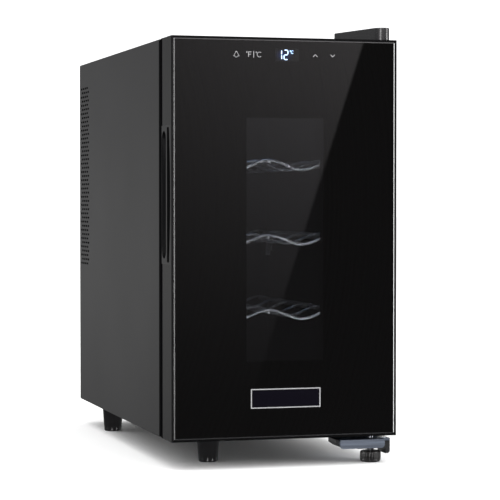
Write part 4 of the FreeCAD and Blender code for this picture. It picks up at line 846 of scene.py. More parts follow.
@dataclass
class Controls:
    """Row of touch icons with a faint painted glow, and the lit number behind the pane.

    Places are measured from the middle of the pane, and heights from the middle of the row.

    Attributes:
        line: Width of the icons' lines.
        bar: Width of the digits' bars.
        digit_width: Distance between a digit's upright bars.
        digit_height: Distance between its top and bottom bars.
        thick: How thick the printed marks are.
        bulb: Where the lamp icon stands.
        units: Where the unit key's mark stands.
        digits: Where the two digits stand.
        unit_mark: Where the small lit unit stands.
        up_key: Where the up arrow stands.
        down_key: Where the down arrow stands.
        centre: Height of the row, found when it is built.
        front: Front of the marks, found then too.
        back: Back of the marks, found then too.
    """

    line: float = 0.4
    bar: float = 1.0
    digit_width: float = 4.3
    digit_height: float = 10.0
    thick: float = 0.05
    bulb: float = -55.0
    units: float = -35.8
    digits: Spot = (-6.9, 0.1)
    unit_mark: float = 6.4
    up_key: float = 33.0
    down_key: float = 52.6
    centre: float = field(init=False, default=0.0)
    front: float = field(init=False, default=0.0)
    back: float = field(init=False, default=0.0)

    def build(self) -> None:
        """Make every mark of the row."""
        low, high = box_of("display_module")
        self.centre = (low.z + high.z) / 2
        glass, _ = box_of("door_glass")
        self.front = glass.y - self.thick
        self.back = glass.y
        self.lamp_mark()
        self.keys()
        self.number()
        self.unit_choice()
        self.unit_shown()

    def arc(self, x: float, z: float, radius: float, start: float, stop: float, steps: int = 20
            ) -> list[Spot]:
        """List points round part of a circle, with its angles in degrees."""
        angles = [math.radians(start + (stop - start) * i / steps) for i in range(steps + 1)]
        return [(x + radius * math.cos(turn), self.centre + z + radius * math.sin(turn)) for turn in angles]

    def mark(self, form: Form, points: Sequence[Spot], width: Optional[float] = None) -> None:
        """Add one line of a mark to a form."""
        form.stroke(points, width or self.line, self.front, self.back)

    def lamp_mark(self) -> None:
        """Make the lamp icon: a hanging globe, its cap and two short rays."""
        form = Form()
        self.mark(form, self.arc(self.bulb, -0.9, 2.2, 122.0, 418.0, 26))
        for side in (-1.0, 1.0):
            self.mark(form, [(self.bulb + side * 1.2, self.centre + 0.9),
                             (self.bulb + side * 0.7, self.centre + 2.5)])
        self.mark(form, [(self.bulb - 0.8, self.centre + 2.7), (self.bulb + 0.8, self.centre + 2.7)], 0.6)
        self.mark(form, self.arc(self.bulb, -0.9, 2.2, 215.0, 325.0, 12), 0.8)
        for turn in (195.0, 345.0):
            start, stop = [self.arc(self.bulb, -0.9, reach, turn, turn + 1.0, 1)[0] for reach in (2.9, 3.6)]
            self.mark(form, [start, stop])
        form.piece("lamp_icon", PRINTED_ICON_GLOW, "door", slot="display", weighted=False)

    def unit_choice(self) -> None:
        """Make the mark of the unit key: both degree signs with their letters, and a bar between."""
        form = Form()
        line, x, z = self.line * 1.15, self.units, self.centre
        self.mark(form, self.arc(x - 7.6, 2.3, 0.6, 0.0, 360.0, 14), line * 0.8)
        self.mark(form, [(x - 5.7, z - 2.6), (x - 5.7, z + 2.6)], line)
        self.mark(form, [(x - 5.7, z + 2.6), (x - 2.7, z + 2.6)], line)
        self.mark(form, [(x - 5.7, z + 0.1), (x - 3.1, z + 0.1)], line)
        self.mark(form, [(x, z - 3.4), (x, z + 3.4)], line)
        self.mark(form, self.arc(x + 2.8, 2.3, 0.6, 0.0, 360.0, 14), line * 0.8)
        self.mark(form, self.arc(x + 6.4, 0.0, 2.6, 50.0, 310.0, 20), line)
        form.piece("unit_icon", PRINTED_ICON_GLOW, "door", slot="display", weighted=False)

    def unit_shown(self) -> None:
        """Make the small lit unit beside the number."""
        form = Form()
        line = self.line * 1.1
        self.mark(form, self.arc(self.unit_mark - 1.5, 4.4, 0.5, 0.0, 360.0, 12), line * 0.8)
        self.mark(form, self.arc(self.unit_mark + 0.8, 3.2, 1.5, 50.0, 310.0, 16), line)
        form.piece("unit_light", GLYPH, "door", slot="display", weighted=False)

    def keys(self) -> None:
        """Make the up and down arrows."""
        for name, x, way in (("up_icon", self.up_key, 1.0), ("down_icon", self.down_key, -1.0)):
            form = Form()
            self.mark(form, [(x - 2.4, self.centre - 1.3 * way), (x, self.centre + 1.1 * way),
                             (x + 2.4, self.centre - 1.3 * way)], self.line * 1.15)
            form.piece(name, PRINTED_ICON_GLOW, "door", slot="display", weighted=False)

    def number(self) -> None:
        """Make the lit two-digit number from six-sided bars."""
        for order, (x, bars) in enumerate(zip(self.digits, (ONE, TWO))):
            form = Form()
            for segment in bars:
                ends = [(x + across * self.digit_width / 2, self.centre + 0.2 + up * self.digit_height / 2)
                        for across, up in segment.value]
                self.bar_between(form, *ends)
            form.piece(f"digit_{order + 1}", GLYPH, "door", slot="display", weighted=False)

    def bar_between(self, form: Form, start: Spot, stop: Spot) -> None:
        """Add one pointed bar of a digit.

        Args:
            form: The digit's form.
            start: One end, across and up.
            stop: The other end.
        """
        way = Vector((stop[0] - start[0], stop[1] - start[1]))
        length = way.length
        way.normalize()
        aside = Vector((-way.y, way.x)) * self.bar / 2
        gap = 0.3
        first = Vector(start) + way * gap
        last = Vector(start) + way * (length - gap)
        inner = (first + way * self.bar / 2, last - way * self.bar / 2)
        outline = [first, inner[0] - aside, inner[1] - aside, last, inner[1] + aside, inner[0] + aside]
        form.prism([(point.x, point.y) for point in outline], 1, self.front, self.back)


@dataclass
class Grip:
    """Moulded grip in the left side of the door: a finger pocket and a bowed groove before it.

    Attributes:
        pocket: Front and rear of the pocket, behind the grip's front edge.
        pocket_end: Margin above and below the pocket.
        pocket_deep: Depth of the pocket.
        scoop: How far the pocket's rear wall leans forward at its middle.
        groove: Front and rear of the groove at its ends.
        groove_bow: How far the groove's front edge bows forward at its middle.
        groove_deep: Depth of the groove.
        groove_end: Margin above and below the groove.
        groove_lean: How far the groove's floor lies behind its mouth.
        steps: Steps down a pocket's wall.
        ease: How the steps crowd towards the mouth.
        swell: How squarely the scoop ends above and below.
        curl: How early the scoop leans forward.
        round_steps: Steps round each end of the pocket's mouth.
        side_steps: Steps down each side of it.
        bow_steps: Steps down the groove's bowed edge.
    """

    pocket: Spot = (20.5, 39.2)
    pocket_end: float = 5.7
    pocket_deep: float = 13.5
    scoop: float = 9.0
    groove: Spot = (7.2, 16.0)
    groove_bow: float = 5.6
    groove_deep: float = 5.6
    groove_end: float = 2.2
    groove_lean: float = 0.6
    steps: int = 10
    ease: float = 1.5
    swell: float = 2.4
    curl: float = 0.7
    round_steps: int = 16
    side_steps: int = 24
    bow_steps: int = 32

    def build(self) -> None:
        """Make the grip as one closed moulding."""
        low, high = box_of("handle_insert")
        form = Form()
        bm = form.bm
        face = low.x
        middle, half = (low.z + high.z) / 2, (high.z - low.z) / 2
        corners = [(low.y, low.z), (high.y, low.z), (high.y, high.z), (low.y, high.z)]
        border, pocket, groove = [form.loop((face, y, z) for y, z in spots) for spots in
                                  (corners, self.stadium(low, high), self.bowed(low, high))]
        bmesh.ops.triangle_fill(bm, use_beauty=True, use_dissolve=False, edges=border + pocket + groove)
        reach = half - self.pocket_end
        rear = low.y + self.pocket[1]
        front = low.y + self.pocket[0]

        def scooped(place: Vector, share: float) -> Vector:
            """Return a pocket wall's point at a share of its depth."""
            height = max(0.0, 1.0 - (abs(place.z - middle) / reach) ** self.swell)
            lean = max(0.0, (place.y - front) / (rear - front)) * self.scoop * height
            return Vector((face + self.pocket_deep * share, place.y - lean * share ** self.curl, place.z))

        self.sink(bm, pocket, scooped)
        self.sink(bm, groove, lambda place, share: Vector((face + self.groove_deep * share,
                                                            place.y + self.groove_lean * share, place.z)))
        pulled = bmesh.ops.extrude_edge_only(bm, edges=border)["geom"]
        moved = [item for item in pulled if isinstance(item, bmesh.types.BMVert)]
        bmesh.ops.translate(bm, verts=moved, vec=(high.x - low.x, 0.0, 0.0))
        back = [item for item in pulled if isinstance(item, bmesh.types.BMEdge)
                and all(abs(vert.co.x - high.x) < FLUSH for vert in item.verts)]
        bmesh.ops.contextual_create(bm, geom=back)
        # Faces below the grip's face take the second, darker material: painted shade in the pocket and
        # groove.
        for item in bm.faces:
            item.material_index = 1 if face + 0.2 < item.calc_center_median().x < high.x - 0.1 else 0
        grip = form.piece("grip", GRIP_PLASTIC, "door", ["handle_insert"], "handle_plastic", angle=35.0)
        grip.data.materials.append(GRIP_POCKET_SHADE.material())

    def stadium(self, low: Vector, high: Vector) -> list[Spot]:
        """List the outline of the pocket's mouth."""
        radius = (self.pocket[1] - self.pocket[0]) / 2
        y = low.y + sum(self.pocket) / 2
        points = []
        for z, start in ((high.z - self.pocket_end - radius, 0.0), (low.z + self.pocket_end + radius, 180.0)):
            for step in range(self.round_steps + 1):
                turn = math.radians(start + 180.0 * step / self.round_steps)
                points.append((y + radius * math.cos(turn), z + radius * math.sin(turn)))
        top, foot = points[:self.round_steps + 1], points[self.round_steps + 1:]
        return (top + self.between(top[-1], foot[0], self.side_steps)
                + foot + self.between(foot[-1], top[0], self.side_steps))

    def between(self, start: Spot, stop: Spot, count: int) -> list[Spot]:
        """List evenly spaced points strictly between two points."""
        return [(start[0] + (stop[0] - start[0]) * i / count, start[1] + (stop[1] - start[1]) * i / count)
                for i in range(1, count)]

    def bowed(self, low: Vector, high: Vector) -> list[Spot]:
        """List the outline of the groove's mouth."""
        bottom, top = low.z + self.groove_end, high.z - self.groove_end
        rear = low.y + self.groove[1]
        points = [(rear, bottom), (rear, top)]
        for step in range(self.bow_steps + 1):
            share = step / self.bow_steps
            bow = self.groove_bow * (1.0 - (2.0 * share - 1.0) ** 2)
            points.append((low.y + self.groove[0] - bow, top + (bottom - top) * share))
        return points

    def sink(self, bm: bmesh.types.BMesh, mouth: list[bmesh.types.BMEdge],
             rule: Callable[[Vector, float], Vector]) -> None:
        """Draw a mouth down into a pocket and close its floor.

        Args:
            bm: The mesh.
            mouth: Edges of the mouth.
            rule: Gives a wall point from its place at the mouth and its share of the depth.
        """
        edges = mouth
        starts = {vert: vert.co.copy() for edge in mouth for vert in edge.verts}
        for step in range(1, self.steps + 1):
            share = (step / self.steps) ** self.ease
            before = starts
            pulled = bmesh.ops.extrude_edge_only(bm, edges=edges)["geom"]
            fresh = [item for item in pulled if isinstance(item, bmesh.types.BMVert)]
            starts = {}
            for vert in fresh:
                twin = min(before, key=lambda old: (old.co - vert.co).length_squared)
                starts[vert] = before[twin]
            for vert, start in starts.items():
                vert.co = rule(start, share)
            edges = [item for item in pulled if isinstance(item, bmesh.types.BMEdge)
                     and all(vert in starts for vert in item.verts)]
        bmesh.ops.triangle_fill(bm, use_beauty=True, use_dissolve=False, edges=edges)


# ---------------------------------------------------------------- hinges

@dataclass
class UpperHinge:
    """Black cap over the upper hinge: a wedge in plan with a round nose.

    Attributes:
        nose: Radius of the nose's corners.
        tail: Radius of its rear corners.
        rim: Radius of its top edge.
        front_width: Width at the nose.
        wall: Thickness of its walls.
    """

    nose: float = 7.2
    tail: float = 1.6
    rim: float = 1.1
    front_width: float = 15.6
    wall: float = 1.6

    def build(self) -> None:
        """Make the cap and hollow it from below."""
        low, high = box_of("hinge_cover")
        outline = [(high.x - self.front_width, low.y), (high.x, low.y), (high.x, high.y), (low.x, high.y)]
        form = Form().prism(outline, 2, low.z, high.z)
        form.bevel(form.edges_along(2, lambda middle: middle.y < low.y + 1), self.nose, 12)
        form.bevel(form.edges_along(2, lambda middle: middle.y > high.y - 1), self.tail, 4)
        form.bevel(form.edges_at(2, high.z), self.rim, 4)
        under = [face for face in form.bm.faces if face.calc_center_median().z < low.z + 0.01]
        bmesh.ops.inset_region(form.bm, faces=under, thickness=self.wall, use_even_offset=True)
        pulled = bmesh.ops.extrude_face_region(form.bm, geom=under)
        bmesh.ops.delete(form.bm, geom=under, context="FACES")
        moved = [item for item in pulled["geom"] if isinstance(item, bmesh.types.BMVert)]
        bmesh.ops.translate(form.bm, verts=moved, vec=(0.0, 0.0, high.z - low.z - self.wall))
        form.piece("hinge_cap", HINGE_PLASTIC, "cabinet", ["hinge_cover"], "hinge_plastic")


@dataclass
class LowerHinge:
    """Bent plate below the door, its pin and washer, and the black moulding round it.

    Attributes:
        plate: Thickness of the plate.
        bend: Outer radius of the bend.
        corner: Radius of the flange's lower corners.
        joggle: Length of the step up to the case.
        flange: Width of the flange.
        step_back: How far behind the door frame the step starts.
        deep: How far the moulding reaches below its top, away from its hook.
        slope: Length of the moulding's sloping underside.
        knob_gap: Gap between the knob and the moulding's hook.
        fit: Gap between the plate and the moulding.
    """

    plate: float = 2.5
    bend: float = 1.2
    corner: float = 3.5
    joggle: float = 3.0
    flange: float = 51.0
    step_back: float = 4.7
    deep: float = 11.0
    slope: float = 22.0
    knob_gap: float = 1.0
    fit: float = 0.2

    def build(self) -> None:
        """Make the three pieces."""
        self.bracket()
        self.pin()
        self.shroud()

    def bracket(self) -> None:
        """Make the plate with its flange."""
        low, high = box_of("lower_hinge_bracket")
        washer_low, _ = box_of("lower_hinge_washer")
        _, door_back = box_of("door_frame")
        top = washer_low.z
        under = top - self.plate
        raised = door_back.y + self.step_back
        form = Form()
        form.prism([(low.y + self.plate * 0.3, top), (low.y + self.plate * 0.3, under), (raised + 1, under),
                    (raised + 1 + self.joggle, high.z - self.plate), (high.y, high.z - self.plate),
                    (high.y, high.z), (raised + self.joggle, high.z), (raised, top)], 0, low.x, high.x)
        form.bevel(form.edges_along(0), 0.35, 2)
        flange = Form()
        flange.prism([(low.x, low.z), (low.x + self.flange, low.z), (low.x + self.flange, top), (low.x, top)],
                     1, low.y, low.y + self.plate)
        flange.bevel(flange.edges_along(1, lambda middle: middle.z < low.z + 1), self.corner, 6)
        flange.bevel(flange.edges_along(0, lambda middle: middle.y < low.y + 1 and middle.z > top - 1),
                     self.bend, 5)
        flange.bevel(flange.edges_at(1, low.y), 0.3, 2)
        bmesh.ops.recalc_face_normals(flange.bm, faces=flange.bm.faces)
        form.absorb(flange)
        form.piece("lower_bracket", ZINC, "cabinet", ["lower_hinge_bracket"], "zinc_plate")

    def pin(self) -> None:
        """Make the pin with its rounded top, and the washer."""
        pin = round_of("lower_hinge_pin")
        radius, tall = pin.radius, pin.tall
        outline = [(0.0, 0.0), (radius - 0.3, 0.0), (radius, 0.3), (radius, tall - 1.0),
                   (radius - 0.3, tall - 0.4), (radius - 1.0, tall), (0.0, tall)]
        form = Form().lathe(outline, pin.base)
        form.piece("lower_pin", STEEL, "cabinet", ["lower_hinge_pin"], "hinge_steel")
        washer = round_of("lower_hinge_washer")
        outer, tall, edge = washer.radius, washer.tall, 0.4
        inner = radius + 0.02
        ring = [(inner, 0.0), (outer - edge, 0.0), (outer, edge), (outer, tall - edge), (outer - edge, tall),
                (inner, tall), (inner, 0.0)]
        form = Form().lathe(ring, (pin.x, pin.y, washer.foot))
        form.piece("lower_washer", NYLON, "cabinet", ["lower_hinge_washer"], "nylon")

    def shroud(self) -> None:
        """Make the moulding: a tapered ear on the left, and a wall that curls under on the right."""
        low, high = box_of("lower_hinge_shroud")
        plate_low, plate_high = box_of("lower_hinge_bracket")
        _, knob_high = box_of("levelling_knob")
        top = high.z
        left, right = plate_low.x - self.fit, plate_high.x + self.fit
        under = top - self.plate - self.fit
        middle = top - self.deep
        inner = knob_high.x + self.knob_gap
        outline = [(low.x, top), (left, top), (left, under), (right, under), (right, top), (high.x, top),
                   (high.x, low.z + 3.8), (high.x - 0.4, low.z + 1.7), (high.x - 1.5, low.z + 0.4),
                   (high.x - 3.0, low.z), (inner, low.z), (inner, middle), (left + self.slope, middle),
                   (left, top - 7.9), (low.x + 1.4, top - 5.6), (low.x + 0.3, top - 4.6), (low.x, top - 3.5)]
        form = Form().prism(outline, 1, low.y, high.y)
        form.bevel(form.edges_at(1, low.y), 0.7, 3)
        form.piece("lower_moulding", HINGE_PLASTIC, "cabinet", ["lower_hinge_shroud"], "hinge_plastic")


# ---------------------------------------------------------------- feet

@dataclass
class Feet:
    """Three fluted feet, and the ribbed knob and stud of the adjustable one.

    Attributes:
        flutes: Flutes round a foot.
        flute_deep: Depth of a flute.
        taper: How much narrower a foot is at its lower end.
        ribs: Ribs round the knob.
        rib_deep: Depth between the ribs.
        rib_steps: Steps round the knob for each rib.
        pitch: Distance between two turns of the stud's thread.
        thread_deep: Depth of that thread.
    """

    flutes: int = 10
    flute_deep: float = 0.8
    taper: float = 2.2
    ribs: int = 22
    rib_deep: float = 1.5
    rib_steps: int = 8
    pitch: float = 1.25
    thread_deep: float = 0.6

    def build(self) -> None:
        """Make the feet, the knob and the stud."""
        for name in ("front_left_foot", "rear_left_foot", "rear_right_foot"):
            self.foot(name)
        self.knob()
        self.stud()

    def foot(self, node: str) -> None:
        """Make one fluted foot."""
        place = round_of(node)
        top, tall = place.radius, place.tall
        foot = top - self.taper
        outline = [(0.0, 5.0), (2.2, 5.0), (2.2, 0.6), (2.8, 0.0), (foot - 1.2, 0.0), (foot - 0.3, 0.4),
                   (foot, 1.2), (foot + 0.15, 2.8), (foot + 0.45, 6.0), (foot + 1.1, 14.0),
                   (top - 0.25, 25.0), (top, 26.0), (top, tall), (0.0, tall)]
        lowest, highest = place.foot + 2.5, place.foot + 25.5

        def fluted(point: Vector) -> Vector:
            """Return a point of the wall drawn in where a flute runs."""
            if place.reach(point) < foot - 0.5 or point.z < lowest or point.z > highest:
                return point
            return place.drawn_in(
                point, lambda turn: self.flute_deep * max(0.0, math.cos(self.flutes * turn)) ** 0.6)

        form = Form().lathe(outline, place.base, 10 * self.flutes).move(fluted)
        form.piece(f"{node}_moulding", FOOT_PLASTIC, "cabinet", [node], "foot_plastic", weighted=False)

    def knob(self) -> None:
        """Make the ribbed knob."""
        place = round_of("levelling_knob")
        radius, tall = place.radius, place.tall
        _, high = box_of("levelling_knob")
        outline = [(0.0, 0.0), (radius - 2.2, 0.0), (radius - 1.2, 0.3), (radius - 0.5, 1.2),
                   (radius - 0.25, 2.4), (radius, 4.0), (radius, tall - 2.6), (radius - 0.3, tall - 1.5),
                   (radius - 1.4, tall - 0.6), (radius - 3.0, tall - 0.1), (4.6, tall), (4.2, tall - 0.4),
                   (4.2, tall - 5.0), (0.0, tall - 5.0)]
        lowest, highest = place.foot + 1.0, high.z - 1.2

        def ribbed(point: Vector) -> Vector:
            """Return a point of the rim drawn in between two ribs."""
            if place.reach(point) < radius - 0.45 or not lowest < point.z < highest:
                return point
            return place.drawn_in(
                point, lambda turn: self.rib_deep * (0.5 - 0.5 * math.cos(self.ribs * turn)) ** 1.5)

        form = Form().lathe(outline, place.base, self.ribs * self.rib_steps).move(ribbed)
        form.piece("ribbed_knob", KNOB_PLASTIC, "levelling_foot", ["levelling_knob"], "knob_plastic",
                   weighted=False)

    def stud(self) -> None:
        """Make the stud with its turned threads."""
        place = round_of("levelling_stud")
        radius, tall = place.radius, place.tall
        outline = [(0.0, 0.0), (radius, 0.0)]
        height = 0.6
        while height + self.pitch < tall - 1.0:
            outline += [(radius, height), (radius - self.thread_deep, height + self.pitch * 0.4),
                        (radius, height + self.pitch * 0.8)]
            height += self.pitch
        outline += [(radius, tall - 0.8), (radius - 0.8, tall), (0.0, tall)]
        form = Form().lathe(outline, place.base, 40)
        form.piece("threaded_stud", STEEL, "levelling_foot", ["levelling_stud"], "screw_steel",
                   weighted=False)


# ---------------------------------------------------------------- shelves

@dataclass
class Shelves:
    """Three chromed wire shelves.

    Attributes:
        wire: Radius of the wavy wires.
        rod: Radius of the side rods.
        rise: Height of a wave.
        first: Distance from a shelf's front end to its first wave.
        step: Distance between waves.
        narrowing: A half shelf's width over one wave's length.
        wave_steps: Steps along a wavy wire.
    """

    wire: float = 1.5
    rod: float = 2.0
    rise: float = 10.6
    first: float = 2.5
    step: float = 56.0
    narrowing: float = 1.25
    wave_steps: int = 96

    def build(self) -> None:
        """Make all three shelves."""
        for level in LEVELS:
            self.shelf(level)

    def shelf(self, level: str) -> None:
        """Make one shelf as a bundle of smooth wires."""
        node = f"{level}_shelf"
        low, high = box_of(node)
        middle = (low.z + high.z) / 2
        side = (high.x - low.x) / 2 - self.rod
        data = bpy.data.curves.new(f"{level}_wires", "CURVE")
        data.dimensions = "3D"
        data.bevel_depth = self.wire
        data.bevel_resolution = 4
        data.use_fill_caps = True
        places = []
        y = low.y + self.first
        while y < high.y - self.rod - self.step / 2:
            places.append(y)
            y += self.step
        places.append(high.y - self.rod)
        for place in places:
            self.wave(data, side, place, middle)
        for x in (-side, side):
            self.straight(data, (x, low.y, middle), (x, high.y, middle), self.rod / self.wire)
        bearer = middle + self.rise / 2 - 2 * self.wire + 0.2
        for x in (-side / self.narrowing, 0.0, side / self.narrowing):
            self.straight(data, (x, places[0], bearer), (x, high.y, bearer), 1.0)
        wires = bpy.data.objects.new(f"{level}_wires", data)
        bpy.context.scene.collection.objects.link(wires)
        bpy.context.view_layer.update()
        mesh = bpy.data.meshes.new_from_object(wires)
        bpy.data.objects.remove(wires)
        form = Form()
        form.bm.from_mesh(mesh)
        bpy.data.meshes.remove(mesh)
        form.piece(f"{level}_wire_shelf", CHROME, f"{level}_shelf_slide", [node], "shelf_chrome",
                   weighted=False)

    def wave(self, data: bpy.types.Curve, side: float, y: float, middle: float) -> None:
        """Add a wavy cross wire to a shelf's curve."""
        length = side / self.narrowing
        spline = data.splines.new("POLY")
        spline.points.add(self.wave_steps)
        for index, point in enumerate(spline.points):
            x = -side + 2 * side * index / self.wave_steps
            point.co = (x, y, middle + self.rise / 2 * math.cos(math.tau * x / length), 1.0)

    def straight(self, data: bpy.types.Curve, start: Point, stop: Point, share: float) -> None:
        """Add a straight wire, its radius a share of the wavy wires' own."""
        spline = data.splines.new("POLY")
        spline.points.add(1)
        for point, place in zip(spline.points, (start, stop)):
            point.co = (*place, 1.0)
            point.radius = share


# ---------------------------------------------------------------- inside and rear

@dataclass
class Seal:
    """Rubber seal on the back of the door: a base, a hollow bead and a thin outer lip.

    Attributes:
        width: Width of the seal.
        lip: Width of its outer lip.
    """

    width: float = 14.0
    lip: float = 2.2

    def build(self) -> None:
        """Make the seal as nested soft rings."""
        low, high = box_of("door_gasket")
        thick = high.y - low.y
        form = Form()
        for inset, wide, deep in ((0.0, self.width, thick * 0.36), (0.3, self.lip, thick * 0.8),
                                  (self.lip + 1.2, self.width - self.lip - 3.2, thick),
                                  (self.width - 1.6, 1.3, thick * 0.7)):
            outer, inner = [((low.x + by, low.z + by), (high.x - by, high.z - by))
                            for by in (inset, inset + wide)]
            part = Form().ring(outer, inner, 1, low.y, low.y + deep)
            part.bevel(part.edges_at(1, low.y + deep), min(wide, deep) * 0.35, 4)
            bmesh.ops.recalc_face_normals(part.bm, faces=part.bm.faces)
            form.absorb(part)
        form.piece("door_seal", RUBBER, "door", ["door_gasket"], "seal_rubber", turned_out=False)


@dataclass
class RearScrews:
    """Pan-head screws of the rear panel, each with a black cross set into its head: painted shade standing
    for the crossed recess.

    Attributes:
        head: Radius of a head.
        rise: Height of a head.
        slot: Width of the black cross of painted shade.
        recess: How far the black cross's front and rear lie below the top of the head; the cross is painted
            shade for the recess.
    """

    head: float = 3.8
    rise: float = 1.8
    slot: float = 0.9
    recess: Spot = (0.04, 0.6)

    def build(self) -> None:
        """Make the six screws as one piece, and the black cross blocks of painted shade in their recesses as
        another.
        """
        low, high = box_of("back_panel_screws")
        heads, recess_shades = Form(), Form()
        for x in (low.x + self.head, high.x - self.head):
            for z in (low.z + self.head, (low.z + high.z) / 2, high.z - self.head):
                self.screw(heads, recess_shades, x, high.y, z)
        heads.piece("rear_screw_heads", SCREW, "cabinet", ["back_panel_screws"], "screw_steel",
                    weighted=False)
        # The recesses are black plastic blocks: painted shade for the hollow cross in each head.
        recess_shades.piece("rear_screw_recess_shade", HINGE_PLASTIC, "cabinet", slot="screw_steel", weighted=False)

    def screw(self, heads: Form, recess_shades: Form, x: float, y: float, z: float) -> None:
        """Add one screw.

        Args:
            heads: Form that gathers the heads.
            recess_shades: Form that gathers the black cross blocks, painted shade for the recesses.
            x: Middle of the head across.
            y: Outer face of the head.
            z: Middle of the head up.
        """
        outline = [(0.0, 0.0), (self.head * 0.55, -0.15), (self.head * 0.85, -0.6), (self.head, -1.2),
                   (self.head, -self.rise), (0.0, -self.rise)]
        dome = Form().lathe(outline, (0.0, 0.0, 0.0), 28)
        turn = Matrix.Translation((x, y, z)) @ Matrix.Rotation(math.radians(-90.0), 4, "X")
        bmesh.ops.transform(dome.bm, matrix=turn, verts=dome.bm.verts)
        heads.absorb(dome)
        # Two crossed black blocks per head: painted shade for its recess.
        reach = self.head * 0.5
        for size in ((reach, self.slot / 2), (self.slot / 2, reach)):
            recess_shades.block((x - size[0], y - self.recess[1], z - size[1]),
                          (x + size[0], y - self.recess[0], z + size[1]), 0.05, 1)


@dataclass
class Inlet:
    """Mains inlet: a rounded flange round a recessed socket.

    Attributes:
        flange: How far the flange reaches past the socket, across and up.
        wall: Thickness of the socket's wall.
        floor: Thickness of the socket's floor.
        thick: Thickness of the flange.
        corner: Radius of the flange's corners.
    """

    flange: Spot = (5.2, 3.2)
    wall: float = 2.8
    floor: float = 5.0
    thick: float = 1.6
    corner: float = 2.6

    def build(self) -> None:
        """Make the moulding."""
        low, high = box_of("mains_inlet")
        side, up = self.flange
        socket = ((low.x + side, low.z + up), (high.x - side, high.z - up))
        mouth = ((socket[0][0] + self.wall, socket[0][1] + self.wall),
                 (socket[1][0] - self.wall, socket[1][1] - self.wall))
        form = Form()
        form.ring(((low.x, low.z), (high.x, high.z)), mouth, 1, high.y - self.thick, high.y)
        outside = form.edges_along(1, lambda middle: min(abs(middle.x - low.x), abs(middle.x - high.x)) < 0.1)
        form.bevel(outside, self.corner, 6)
        form.bevel(form.edges_at(1, high.y), 0.4, 3)
        form.ring(socket, mouth, 1, low.y + self.floor, high.y - self.thick)
        form.block((socket[0][0], low.y, socket[0][1]), (socket[1][0], low.y + self.floor, socket[1][1]), 0.5)
        form.piece("inlet_moulding", KNOB_PLASTIC, "cabinet", ["mains_inlet"], "inlet_plastic")


# ---------------------------------------------------------------- studio

